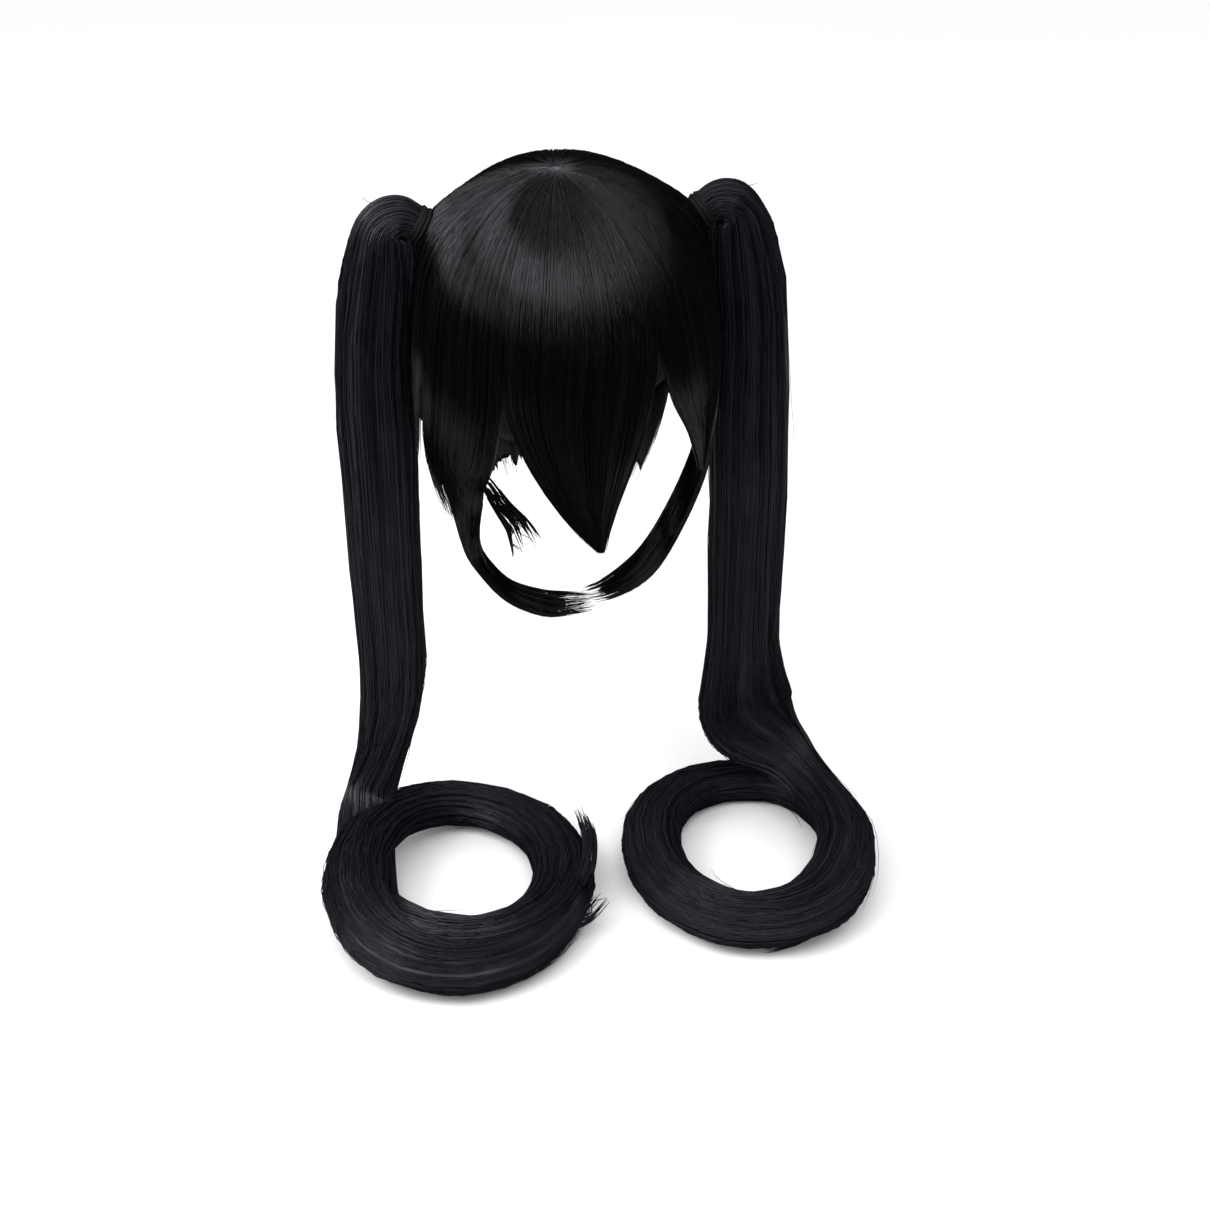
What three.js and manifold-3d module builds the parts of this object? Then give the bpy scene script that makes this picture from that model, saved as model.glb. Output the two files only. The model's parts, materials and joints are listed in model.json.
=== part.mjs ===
// A long twin-tail wig: a hollow net cap that carries panels of combed hair, two locks that
// curl in under the chin, and two tails on wound ties whose lower lengths lie coiled on a table.
// Millimetres, +Z up. The face looks along -Y and the wearer's left is +X. The origin is the
// place inside the cap that sits on the crown of the head.
import * as THREE from "three";
import Module from "manifold-3d";

const wasm = await Module();
wasm.setup();

// Driving dimensions
const HEAD = { x: 76, y: 96, z: 90 }; // half width, half length, crown above the widest level
const WIDEST_Z = -90; // level of the widest part of the head
const DOME_POWER = 2.2; // roundness of the skull, 2 is an ellipsoid
const CAP_WALL = 2;
const CAP_TUCK = 150; // how far below the widest level the cap would close under the head
const GAP = 0.4; // clearance between neighbouring pieces
const HAIR_SEAT = 1.4; // clearance of the hair over the cap, where flat facets cut the curve
const HAIR = { x: 84.5, y: 107, z: 104 }; // half sizes of the combed hair's outer form
const WHORL = { x: -7, y: -16 }; // plan place that the combed hair spreads from
const WHORL_RADIUS = 5.5;
const PANEL_START = 7; // radius round the whorl where the panels begin
const GROOVE = 1.8; // depth of the partings between locks
const ROOT_ANGLE = 95; // plan angle of a tail's root, from the face
const ROOT_Z = -26;
const ROOT_LIFT = 8; // how far the hair is drawn up towards a tail's root
const ROOT_SPREAD = 18;
const TAIL_ROOT_RADIUS = 8.5;
const TIE_WIDTH = 5.4;
const TIE_BULK = 2.2; // radius of the tie's wound cord
const TABLE_Z = -400; // surface that the coils lie on
const COIL = { out: 59, y: 76 }; // half sizes of a coil's centre line
const TAIL_SIDES = 16;
const TAIL_LOBES = 4;
const LOBE_DEPTH = 0.06;
const TAIL_TWIST = 0.35; // turn of the lobes from one station to the next, in radians

// Lower edge of the cap: plan angle from the face, and height
const CAP_EDGE = [
  { angle: 0, z: -47 },
  { angle: 35, z: -51 },
  { angle: 65, z: -82 },
  { angle: 85, z: -103 },
  { angle: 105, z: -112 },
  { angle: 130, z: -150 },
  { angle: 155, z: -176 },
  { angle: 180, z: -182 },
];

// Panels of hair. Each row is a level of the panel: its height, the plan angles of its two
// edges, the share of the full thickness there, and how ragged the ends are.
const PANELS = {
  fringe: {
    columns: 12, locks: 4, tuck: 0,
    rows: [
      { z: -45, from: -34, to: 25, depth: 1, ragged: 0 },
      { z: -57, from: -34, to: 25, depth: 1, ragged: 0 },
      { z: -72, from: -34, to: 22.7, depth: 0.95, ragged: 0 },
      { z: -89, from: -33.9, to: 20.3, depth: 0.9, ragged: 0 },
      { z: -107, from: -29.7, to: 17.2, depth: 0.8, ragged: 0 },
      { z: -125, from: -23.5, to: 12.5, depth: 0.7, ragged: 0 },
      { z: -143, from: -15, to: 7.3, depth: 0.58, ragged: 0 },
      { z: -159, from: -6.4, to: 3.8, depth: 0.42, ragged: 0 },
      { z: -169, from: 0.2, to: 2.4, depth: 0.28, ragged: 0 },
    ],
  },
  temple_lock_right: {
    columns: 9, locks: 3, tuck: 0,
    rows: [
      { z: -45, from: -74, to: -34, depth: 1, ragged: 0 },
      { z: -66, from: -74, to: -34, depth: 1, ragged: 0 },
      { z: -89, from: -74, to: -33.9, depth: 1, ragged: 0 },
      { z: -103, from: -75, to: -35.3, depth: 0.95, ragged: 0 },
      { z: -124, from: -77, to: -38, depth: 0.9, ragged: 0 },
      { z: -142, from: -77, to: -38.8, depth: 0.85, ragged: 0 },
    ],
  },
  temple_lock_left: {
    columns: 9, locks: 3, tuck: 0,
    rows: [
      { z: -45, from: 25, to: 72, depth: 1, ragged: 0 },
      { z: -57, from: 25, to: 72, depth: 1, ragged: 0 },
      { z: -73, from: 27, to: 72, depth: 0.95, ragged: 0 },
      { z: -95, from: 31.5, to: 71, depth: 0.9, ragged: 0 },
      { z: -112, from: 39, to: 66, depth: 0.8, ragged: 0 },
      { z: -127, from: 43, to: 57, depth: 0.6, ragged: 0 },
      { z: -141, from: 47.4, to: 49.6, depth: 0.35, ragged: 0 },
    ],
  },
  side_hair_right: {
    columns: 9, locks: 3, tuck: 0,
    rows: [
      { z: -45, from: -118, to: -74, depth: 1, ragged: 0 },
      { z: -66, from: -118, to: -74, depth: 1, ragged: 0 },
      { z: -89, from: -118, to: -74, depth: 1, ragged: 0 },
      { z: -108, from: -118, to: -78, depth: 0.9, ragged: 2 },
      { z: -124, from: -116, to: -80, depth: 0.6, ragged: 7 },
    ],
  },
  side_hair_left: {
    columns: 9, locks: 3, tuck: 0,
    rows: [
      { z: -45, from: 72, to: 118, depth: 1, ragged: 0 },
      { z: -66, from: 72, to: 118, depth: 1, ragged: 0 },
      { z: -89, from: 72, to: 118, depth: 1, ragged: 0 },
      { z: -108, from: 72, to: 118, depth: 0.95, ragged: 0 },
      { z: -126, from: 70, to: 117, depth: 0.9, ragged: 0 },
    ],
  },
  back_hair: {
    columns: 21, locks: 7, tuck: 0.18,
    rows: [
      { z: -45, from: 118, to: 242, depth: 1, ragged: 0 },
      { z: -66, from: 118, to: 242, depth: 1, ragged: 0 },
      { z: -89, from: 118, to: 242, depth: 1, ragged: 0 },
      { z: -112, from: 118, to: 242, depth: 1, ragged: 0 },
      { z: -136, from: 119, to: 241, depth: 1, ragged: 0 },
      { z: -158, from: 121, to: 239, depth: 1, ragged: 0 },
      { z: -180, from: 124, to: 236, depth: 0.9, ragged: 0 },
      { z: -200, from: 128, to: 232, depth: 0.5, ragged: 11 },
    ],
  },
};

// Locks that curl in under the chin. Each row is a section: its centre, its half width and half
// thickness, and the plan angle that its width points along, from the face.
const JAW_CURLS = {
  jaw_curl_right: [
    { x: -69.5, y: -55.5, z: -142.6, across: 31, deep: 3.6, facing: 27 },
    { x: -69, y: -53, z: -165, across: 28, deep: 4.4, facing: 22 },
    { x: -65, y: -52, z: -186, across: 26, deep: 5, facing: 16 },
    { x: -55, y: -54, z: -203, across: 25, deep: 5.2, facing: 10 },
    { x: -40, y: -58, z: -214, across: 22, deep: 5, facing: 6 },
    { x: -21, y: -62, z: -219, across: 17, deep: 4.4, facing: 3 },
    { x: 4, y: -67, z: -216, across: 4, deep: 1.6, facing: 0 },
  ],
  jaw_curl_left: [
    { x: 76, y: -25, z: -126.8, across: 27, deep: 3.4, facing: -9 },
    { x: 74, y: -25, z: -147, across: 25, deep: 4, facing: -9 },
    { x: 66, y: -26, z: -170, across: 22, deep: 4.6, facing: -8 },
    { x: 54, y: -31, z: -190, across: 19, deep: 5, facing: -6 },
    { x: 41, y: -40, z: -204, across: 16, deep: 4.6, facing: -4 },
    { x: 27, y: -49, z: -212, across: 12, deep: 4, facing: -2 },
    { x: 10, y: -58, z: -216, across: 4, deep: 1.5, facing: 0 },
  ],
};

// Hanging part of both tails, from the flare above the tie: distance out from the middle plane,
// depth, height, half width and half thickness
const TAIL_HANG = [
  { out: 98.8, y: 10.5, z: -20, across: 14.2, deep: 16 },
  { out: 104.5, y: 12.5, z: -44, across: 21, deep: 18.5 },
  { out: 108.5, y: 14, z: -88, across: 20, deep: 20 },
  { out: 108.5, y: 14, z: -135, across: 21.5, deep: 20 },
  { out: 108, y: 13, z: -190, across: 20.5, deep: 19 },
  { out: 107.5, y: 11, z: -245, across: 19.5, deep: 17.5 },
  { out: 107, y: 6, z: -298, across: 18.5, deep: 16 },
];

// Each tail: how far its hanging part lies in from the table above and how much fuller it gets
// towards the table, the middle of its coil, its way down onto the table, and its turns round
// the coil. A turn starts on the outer side and runs by the front, and lift is height above the
// table. Each tip is a lock that leaves the tail at one turn and ends at another.
const TAILS = {
  right: {
    side: -1,
    inset: 3,
    fuller: 0,
    coil: { out: 73, y: -69 },
    landing: [
      { out: 112, y: 0, z: -338, across: 18.5, deep: 14 },
      { out: 128, y: -24, z: -372, across: 18, deep: 12 },
    ],
    turns: [
      { turn: 0, scale: 1.06, lift: 0, across: 18, deep: 11.5 },
      { turn: 0.25, scale: 0.9, lift: 2, across: 18, deep: 11.5 },
      { turn: 0.5, scale: 1, lift: 0, across: 17, deep: 11.5 },
      { turn: 0.75, scale: 0.96, lift: 2, across: 14.5, deep: 11.5 },
      { turn: 0.9, scale: 0.94, lift: 15, across: 14.5, deep: 11 },
      { turn: 1, scale: 1.04, lift: 18, across: 16, deep: 11 },
      { turn: 1.13, scale: 1.19, lift: 5, across: 19, deep: 11 },
      { turn: 1.27, scale: 1.16, lift: 0, across: 19, deep: 11 },
      { turn: 1.42, scale: 1.07, lift: 5, across: 12, deep: 8 },
    ],
    tips: [
      { from: 1.36, turn: 1.53, scale: 1.02, lift: 12 },
      { from: 1.35, turn: 1.5, scale: 1.16, lift: 7 },
      { from: 1.34, turn: 1.47, scale: 0.92, lift: 10 },
    ],
  },
  left: {
    side: 1,
    inset: 0,
    fuller: 3,
    coil: { out: 98, y: -68 },
    landing: [
      { out: 108.5, y: 2, z: -338, across: 26, deep: 14.5 },
      { out: 130, y: -14, z: -365, across: 22.5, deep: 12.5 },
    ],
    turns: [
      { turn: 0, scale: 0.95, lift: 16, across: 17.5, deep: 11.5 },
      { turn: 0.25, scale: 1.09, lift: 3, across: 21, deep: 12 },
      { turn: 0.5, scale: 0.98, lift: 1, across: 17.5, deep: 11.5 },
      { turn: 0.62, scale: 0.98, lift: 0, across: 16, deep: 11 },
      { turn: 0.8, scale: 0.97, lift: 0, across: 14.5, deep: 10.5 },
      { turn: 1, scale: 0.97, lift: 0, across: 15, deep: 10 },
      { turn: 1.2, scale: 1.04, lift: 0, across: 12, deep: 8 },
    ],
    tips: [
      { from: 1.12, turn: 1.28, scale: 1.2, lift: 0 },
      { from: 1.13, turn: 1.31, scale: 1.1, lift: 0 },
    ],
  },
};

const FINISHES = {
  hair: { color: 0x0d0e12, roughness: 0.42, metalness: 0 },
  cap: { color: 0x17171a, roughness: 0.85, metalness: 0 },
  tie: { color: 0x101013, roughness: 0.7, metalness: 0 },
};

const { degToRad, lerp, smoothstep, clamp } = THREE.MathUtils;
const UP = new THREE.Vector3(0, 0, 1);

/** A wig part with its finish. */
function piece(name, geometry, finish) {
  const material = new THREE.MeshStandardMaterial(FINISHES[finish]);
  const mesh = new THREE.Mesh(geometry, material);
  mesh.name = name;
  return mesh;
}

/** A closed geometry from points and triangles, turned so that its faces look outward. */
function closedGeometry(points, triangles) {
  let volume = 0;
  for (const [a, b, c] of triangles) {
    volume += points[a].dot(new THREE.Vector3().crossVectors(points[b], points[c]));
  }
  const order = volume < 0 ? triangles.map(([a, b, c]) => [a, c, b]) : triangles;
  const geometry = new THREE.BufferGeometry();
  geometry.setAttribute("position", new THREE.Float32BufferAttribute(points.flatMap((p) => p.toArray()), 3));
  geometry.setIndex(order.flat());
  geometry.computeVertexNormals();
  return geometry;
}

/** A closed skin over rings of points, with a fan over the first and the last ring. */
function loft(rings) {
  const count = rings[0].length;
  const points = rings.flat();
  const triangles = [];
  for (let r = 0; r + 1 < rings.length; r += 1) {
    for (let i = 0; i < count; i += 1) {
      const a = r * count + i;
      const b = r * count + ((i + 1) % count);
      triangles.push([a, b, b + count], [a, b + count, a + count]);
    }
  }
  const closeEnd = (ring, first, flip) => {
    const middle = new THREE.Vector3();
    ring.forEach((p) => middle.addScaledVector(p, 1 / count));
    const hub = points.push(middle) - 1;
    for (let i = 0; i < count; i += 1) {
      const a = first + i;
      const b = first + ((i + 1) % count);
      triangles.push(flip ? [hub, b, a] : [hub, a, b]);
    }
  };
  closeEnd(rings[0], 0, true);
  closeEnd(rings[rings.length - 1], (rings.length - 1) * count, false);
  return closedGeometry(points, triangles);
}

/** A closed wall between two grids of points of the same size, an outer and an inner one. */
function wall(outer, inner) {
  // Each level of the wall is one closed ring: out along the outer face, back along the inner
  return loft(outer.map((row, r) => [...row, ...[...inner[r]].reverse()]));
}

/** Union of closed geometries as one closed geometry. */
function fuse(geometries) {
  const solids = geometries.map((geometry) => new wasm.Manifold(new wasm.Mesh({
    numProp: 3,
    vertProperties: new Float32Array(geometry.attributes.position.array),
    triVerts: new Uint32Array(geometry.index.array),
  })));
  const joined = wasm.Manifold.union(solids).getMesh();
  const points = [];
  for (let i = 0; i < joined.vertProperties.length; i += joined.numProp) {
    points.push(new THREE.Vector3().fromArray(joined.vertProperties, i));
  }
  const triangles = [];
  for (let i = 0; i < joined.triVerts.length; i += 3) {
    triangles.push([...joined.triVerts.slice(i, i + 3)]);
  }
  return closedGeometry(points, triangles);
}

/** Half sizes of a dome that lies a margin outside the head. */
function domeOutside(margin) {
  return { x: HEAD.x + margin, y: HEAD.y + margin, z: HEAD.z + margin };
}

const CAP_OUTSIDE = domeOutside(CAP_WALL);
const HAIR_INSIDE = domeOutside(CAP_WALL + HAIR_SEAT);

/** Height of a dome above a plan place. */
function domeHeight(dome, x, y) {
  const reach = Math.min(1, Math.hypot(x / dome.x, y / dome.y));
  return WIDEST_Z + dome.z * (1 - reach ** DOME_POWER) ** (1 / DOME_POWER);
}

/** Point of a dome at a plan angle and height. Below the widest level hair hangs, tucked in by a share. */
function wallPoint(dome, angle, z, tuck) {
  const rise = clamp((z - WIDEST_Z) / dome.z, 0, 1);
  const drop = Math.max(0, WIDEST_Z - z) / 100;
  const reach = (1 - rise ** DOME_POWER) ** (1 / DOME_POWER) * (1 - tuck * drop * drop);
  const turn = degToRad(angle);
  return new THREE.Vector3(dome.x * reach * Math.sin(turn), -dome.y * reach * Math.cos(turn), z);
}

/** Outward direction of the combed hair at one of its points. */
function outwardAt(point) {
  const rise = Math.max(0, point.z - WIDEST_Z);
  return new THREE.Vector3(point.x / HAIR.x ** 2, point.y / HAIR.y ** 2, rise / HAIR.z ** 2).normalize();
}

/** Place on the combed hair that a tail grows from, before the hair is drawn up to it. */
function rootFoot(side) {
  return wallPoint(HAIR, side * ROOT_ANGLE, ROOT_Z, 0);
}

/** Outer face of the combed hair: lifted round the tail roots and parted between its locks. */
function combed(point, parting) {
  let lift = -GROOVE * parting;
  for (const side of [-1, 1]) {
    const away = point.distanceTo(rootFoot(side)) / ROOT_SPREAD;
    lift += ROOT_LIFT * Math.exp(-away * away / 2);
  }
  return point.addScaledVector(outwardAt(point), lift);
}

/** A panel of hair that leaves the whorl, runs down the dome and hangs. */
function panelGeometry({ columns, locks, tuck, rows }, start) {
  const domeSteps = [0, 0.16, 0.33, 0.5, 0.67, 0.84];
  const seam = 0.5 * GAP / HAIR.x * THREE.MathUtils.RAD2DEG;
  const middle = wallPoint(HAIR, (rows[0].from + rows[0].to) / 2, rows[0].z, 0);
  const away = new THREE.Vector2(middle.x - WHORL.x, middle.y - WHORL.y).normalize();
  const hub = { x: WHORL.x + away.x, y: WHORL.y + away.y };
  const face = (dome, outside) => {
    const columnAt = (row, u) => {
      const lockPlace = u * locks - Math.floor(u * locks);
      const ends = u === 0 || u === 1 ? 0 : Math.abs(2 * lockPlace - 1);
      const angle = lerp(row.from + seam, row.to - seam, u);
      const own = outside ? dome : {
        x: lerp(HAIR.x, dome.x, row.depth),
        y: lerp(HAIR.y, dome.y, row.depth),
        z: lerp(HAIR.z, dome.z, row.depth),
      };
      return { point: wallPoint(own, angle, row.z + row.ragged * ends, tuck), parting: ends ** 2 };
    };
    const finish = ({ point, parting }) => (outside ? combed(point, parting) : point);
    const grid = domeSteps.map((share) => {
      const line = [];
      for (let i = 0; i <= columns; i += 1) {
        const { point, parting } = columnAt(rows[0], i / columns);
        const run = Math.hypot(point.x - hub.x, point.y - hub.y);
        const reach = lerp(start / run, 1, Math.sin(share * Math.PI / 2));
        const x = lerp(hub.x, point.x, reach);
        const y = lerp(hub.y, point.y, reach);
        line.push(finish({ point: new THREE.Vector3(x, y, domeHeight(dome, x, y)), parting: parting * share }));
      }
      return line;
    });
    for (const row of rows) {
      const line = [];
      for (let i = 0; i <= columns; i += 1) {
        line.push(finish(columnAt(row, i / columns)));
      }
      grid.push(line);
    }
    return grid;
  };
  return wall(face(HAIR, true), face(HAIR_INSIDE, false));
}

/** The small round of hair at the whorl, which belongs to the back hair. */
function whorlGeometry() {
  const top = domeHeight(HAIR, WHORL.x, WHORL.y) - 0.6;
  const base = domeHeight(HAIR_INSIDE, WHORL.x, WHORL.y) + 0.5;
  const profile = [
    new THREE.Vector2(0, base),
    new THREE.Vector2(WHORL_RADIUS, base),
    new THREE.Vector2(WHORL_RADIUS, top - 1.2),
    new THREE.Vector2(WHORL_RADIUS * 0.55, top),
    new THREE.Vector2(0, top - 0.8),
  ];
  const rings = [];
  for (const place of profile.slice(1, -1)) {
    const ring = [];
    for (let i = 0; i < 12; i += 1) {
      const turn = i / 12 * 2 * Math.PI;
      ring.push(new THREE.Vector3(WHORL.x + place.x * Math.cos(turn), WHORL.y + place.x * Math.sin(turn), place.y));
    }
    rings.push(ring);
  }
  return loft(rings);
}

/** Height of the cap's lower edge at a plan angle. */
function capEdge(angle) {
  const turn = Math.abs(((angle + 540) % 360) - 180);
  const next = Math.max(1, CAP_EDGE.findIndex((row) => row.angle >= turn));
  const a = CAP_EDGE[next - 1];
  const b = CAP_EDGE[next];
  return lerp(a.z, b.z, smoothstep(turn, a.angle, b.angle) * 0.4 + (turn - a.angle) / (b.angle - a.angle) * 0.6);
}

/** The hollow cap: a thin wall over the head, cut to a hairline, ear curves and a nape. */
function capGeometry() {
  const around = 36;
  const levels = 9;
  const skin = (dome, tuckDepth) => {
    const rings = [];
    for (let level = 1; level <= levels; level += 1) {
      const ring = [];
      for (let i = 0; i < around; i += 1) {
        const angle = i / around * 360;
        const edge = capEdge(angle) - WIDEST_Z;
        const tilt = Math.acos(edge / (edge > 0 ? dome.z : tuckDepth)) * level / levels;
        const below = tilt > Math.PI / 2;
        const rise = below ? 0 : Math.cos(tilt);
        const reach = below ? Math.sin(tilt) : (1 - rise ** DOME_POWER) ** (1 / DOME_POWER);
        const z = WIDEST_Z + (below ? tuckDepth * Math.cos(tilt) : dome.z * rise);
        const turn = degToRad(angle);
        ring.push(new THREE.Vector3(dome.x * reach * Math.sin(turn), -dome.y * reach * Math.cos(turn), z));
      }
      rings.push(ring);
    }
    return rings;
  };
  const outer = skin(CAP_OUTSIDE, CAP_TUCK + CAP_WALL);
  const inner = skin(HEAD, CAP_TUCK);
  return loft([...outer, ...inner.reverse()]);
}

/** Sections of a lock, with a frame for each: along, across and the face. */
function framed(stations, faceAt) {
  return stations.map((station, i) => {
    const before = stations[Math.max(0, i - 1)].at;
    const after = stations[Math.min(stations.length - 1, i + 1)].at;
    const along = new THREE.Vector3().subVectors(after, before).normalize();
    const side = new THREE.Vector3().crossVectors(along, faceAt(station)).normalize();
    const face = new THREE.Vector3().crossVectors(side, along);
    return { ...station, side, face };
  });
}

/** A lobed oval swept along framed stations, flat where it lies on the table or meets a ceiling. */
function sweep(stations, { sides, lobes, lobeDepth, twist, ceiling = Infinity }) {
  return loft(stations.map(({ at, side, face, across, deep }, s) => {
    const ring = [];
    for (let i = 0; i < sides; i += 1) {
      const turn = i / sides * 2 * Math.PI;
      const bulge = 1 + lobeDepth * Math.cos(lobes * turn + twist * s);
      const point = at.clone();
      point.addScaledVector(side, across * bulge * Math.cos(turn));
      point.addScaledVector(face, deep * bulge * Math.sin(turn));
      point.z = clamp(point.z, TABLE_Z, ceiling);
      ring.push(point);
    }
    return ring;
  }));
}

/** Smooth stations through the rows of a table, in equal steps of the row number. */
function smoothStations(rows, steps) {
  const path = new THREE.CatmullRomCurve3(rows.map((row) => new THREE.Vector3(row.x, row.y, row.z)), false, "catmullrom");
  const sizes = new THREE.CatmullRomCurve3(rows.map((row) => new THREE.Vector3(row.across, row.deep, row.facing ?? 0)));
  sizes.curveType = "catmullrom";
  const stations = [];
  for (let i = 0; i <= steps; i += 1) {
    const size = sizes.getPoint(i / steps);
    stations.push({ at: path.getPoint(i / steps), across: size.x, deep: size.y, facing: size.z });
  }
  return stations;
}

/** A lock that curls in under the chin. Its width keeps pointing to the front. */
function jawCurlGeometry(rows) {
  const stations = framed(smoothStations(rows, 14), ({ facing }) => {
    const turn = degToRad(facing);
    return new THREE.Vector3(Math.sin(turn), -Math.cos(turn), 0);
  });
  // The face of the frame is the lock's width here, so its two half sizes change places
  const turned = stations.map((s) => ({ ...s, across: s.deep, deep: s.across }));
  return sweep(turned, { sides: 12, lobes: 3, lobeDepth: 0.08, twist: 0, ceiling: rows[0].z });
}

/** A tail's root: where it leaves the combed hair, and the direction that it leaves in. */
function tailRoot(side) {
  const foot = rootFoot(side);
  const out = outwardAt(foot);
  return { foot: combed(foot, 0), out };
}

/** A row of a table of turns at a given turn, eased between its neighbours. */
function rowAtTurn(rows, turn) {
  const next = clamp(rows.findIndex((row) => row.turn >= turn), 1, rows.length - 1);
  const a = rows[next - 1];
  const b = rows[next];
  const share = smoothstep(turn, a.turn, b.turn);
  const between = (key) => lerp(a[key], b[key], share);
  return { scale: between("scale"), lift: between("lift"), across: between("across"), deep: between("deep") };
}

/** A place on a tail's coil. */
function coilPoint({ side, coil }, turn, scale, z) {
  const angle = -2 * Math.PI * turn;
  const out = coil.out + COIL.out * scale * Math.cos(angle);
  return new THREE.Vector3(side * out, coil.y + COIL.y * scale * Math.sin(angle), z);
}

/** Stations of a tail's coil between two turns. */
function coilStations(tail, first, last, steps) {
  const stations = [];
  for (let i = 0; i <= steps; i += 1) {
    const turn = lerp(first, last, i / steps);
    const { scale, lift, across, deep } = rowAtTurn(tail.turns, turn);
    stations.push({ at: coilPoint(tail, turn, scale, TABLE_Z + deep + lift), across, deep });
  }
  return stations;
}

/** Direction that a tail's face looks: forward where it hangs, up where it lies. */
function tailFace({ at }) {
  const lying = smoothstep(TABLE_Z + 90 - at.z, 0, 75);
  return new THREE.Vector3(0, lying - 1, lying);
}

/** A tail: a flare above the tie, an arch, a hanging length and a coil with parted tips. */
function tailGeometry(tail) {
  const { side, inset, fuller, landing, turns, tips } = tail;
  const { foot, out } = tailRoot(side);
  const rootRows = [GAP + 0.2, TIE_WIDTH + 1.4, TIE_WIDTH + 6].map((step, i) => {
    const at = foot.clone().addScaledVector(out, step);
    const radius = TAIL_ROOT_RADIUS * (i === 2 ? 1.25 : 1);
    return { x: at.x, y: at.y, z: at.z, across: radius, deep: radius };
  });
  const hangRows = TAIL_HANG.map((row, i) => {
    const share = i / (TAIL_HANG.length - 1);
    const x = side * (row.out - inset * Math.min(1, i / 2));
    return { ...row, x, across: row.across + fuller * share };
  });
  const landingRows = landing.map((row) => ({ ...row, x: side * row.out }));
  const coilRows = coilStations(tail, 0.03, 0.81, 8).map(({ at, across, deep }) => ({ ...at, across, deep }));
  const rows = [...rootRows, ...hangRows, ...landingRows, ...coilRows];
  const lastTurn = turns[turns.length - 1].turn;
  const look = { sides: TAIL_SIDES, lobes: TAIL_LOBES, lobeDepth: LOBE_DEPTH, twist: TAIL_TWIST };
  const solids = [
    sweep(framed(smoothStations(rows, 2 * (rows.length - 1)), tailFace), look),
    sweep(framed(coilStations(tail, 0.77, lastTurn, 15), () => UP), look),
  ];
  for (const tip of tips) {
    const steps = 5;
    const stations = [];
    for (let i = 0; i <= steps; i += 1) {
      const share = i / steps;
      const turn = lerp(tip.from, tip.turn, share);
      const start = rowAtTurn(turns, Math.min(turn, lastTurn));
      const thin = lerp(0.62, 0.07, share);
      const deep = start.deep * thin;
      const height = TABLE_Z + lerp(start.deep + start.lift, deep + tip.lift, share);
      const at = coilPoint(tail, turn, lerp(start.scale, tip.scale, share), height);
      stations.push({ at, across: start.across * thin, deep });
    }
    solids.push(sweep(framed(stations, () => UP), { sides: 8, lobes: 2, lobeDepth: 0, twist: 0 }));
  }
  return fuse(solids);
}

/** A tie: a ridged band wound round the root of a tail. */
function tieMesh(name, side) {
  const { foot, out } = tailRoot(side);
  const inner = TAIL_ROOT_RADIUS * (1 + LOBE_DEPTH) + GAP;
  const ridges = [-1, 0, 1];
  const profile = [new THREE.Vector2(inner, -TIE_WIDTH / 2)];
  for (const ridge of ridges) {
    const middle = ridge * TIE_WIDTH / 3;
    profile.push(new THREE.Vector2(inner + TIE_BULK * 0.7, middle - TIE_WIDTH / 7));
    profile.push(new THREE.Vector2(inner + TIE_BULK, middle));
    profile.push(new THREE.Vector2(inner + TIE_BULK * 0.7, middle + TIE_WIDTH / 7));
  }
  profile.push(new THREE.Vector2(inner, TIE_WIDTH / 2));
  profile.push(profile[0].clone());
  const tie = piece(name, new THREE.LatheGeometry(profile, 18), "tie");
  tie.position.copy(foot).addScaledVector(out, TIE_WIDTH / 2 + GAP);
  tie.quaternion.setFromUnitVectors(new THREE.Vector3(0, 1, 0), out);
  return tie;
}

const wig = new THREE.Group();
wig.name = "wig";
wig.add(piece("cap", capGeometry(), "cap"));
for (const [name, panel] of Object.entries(PANELS)) {
  const hasWhorl = name === "back_hair";
  const geometry = panelGeometry(panel, hasWhorl ? PANEL_START - 3 : PANEL_START);
  wig.add(piece(name, hasWhorl ? fuse([geometry, whorlGeometry()]) : geometry, "hair"));
}
for (const [name, rows] of Object.entries(JAW_CURLS)) {
  wig.add(piece(name, jawCurlGeometry(rows), "hair"));
}
for (const [name, tail] of Object.entries(TAILS)) {
  wig.add(tieMesh(`tie_${name}`, tail.side));
  wig.add(piece(`tail_${name}`, tailGeometry(tail), "hair"));
}

export default wig;
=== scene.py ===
import itertools
import json
import math

import bpy
import numpy as np
from mathutils import Matrix

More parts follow.
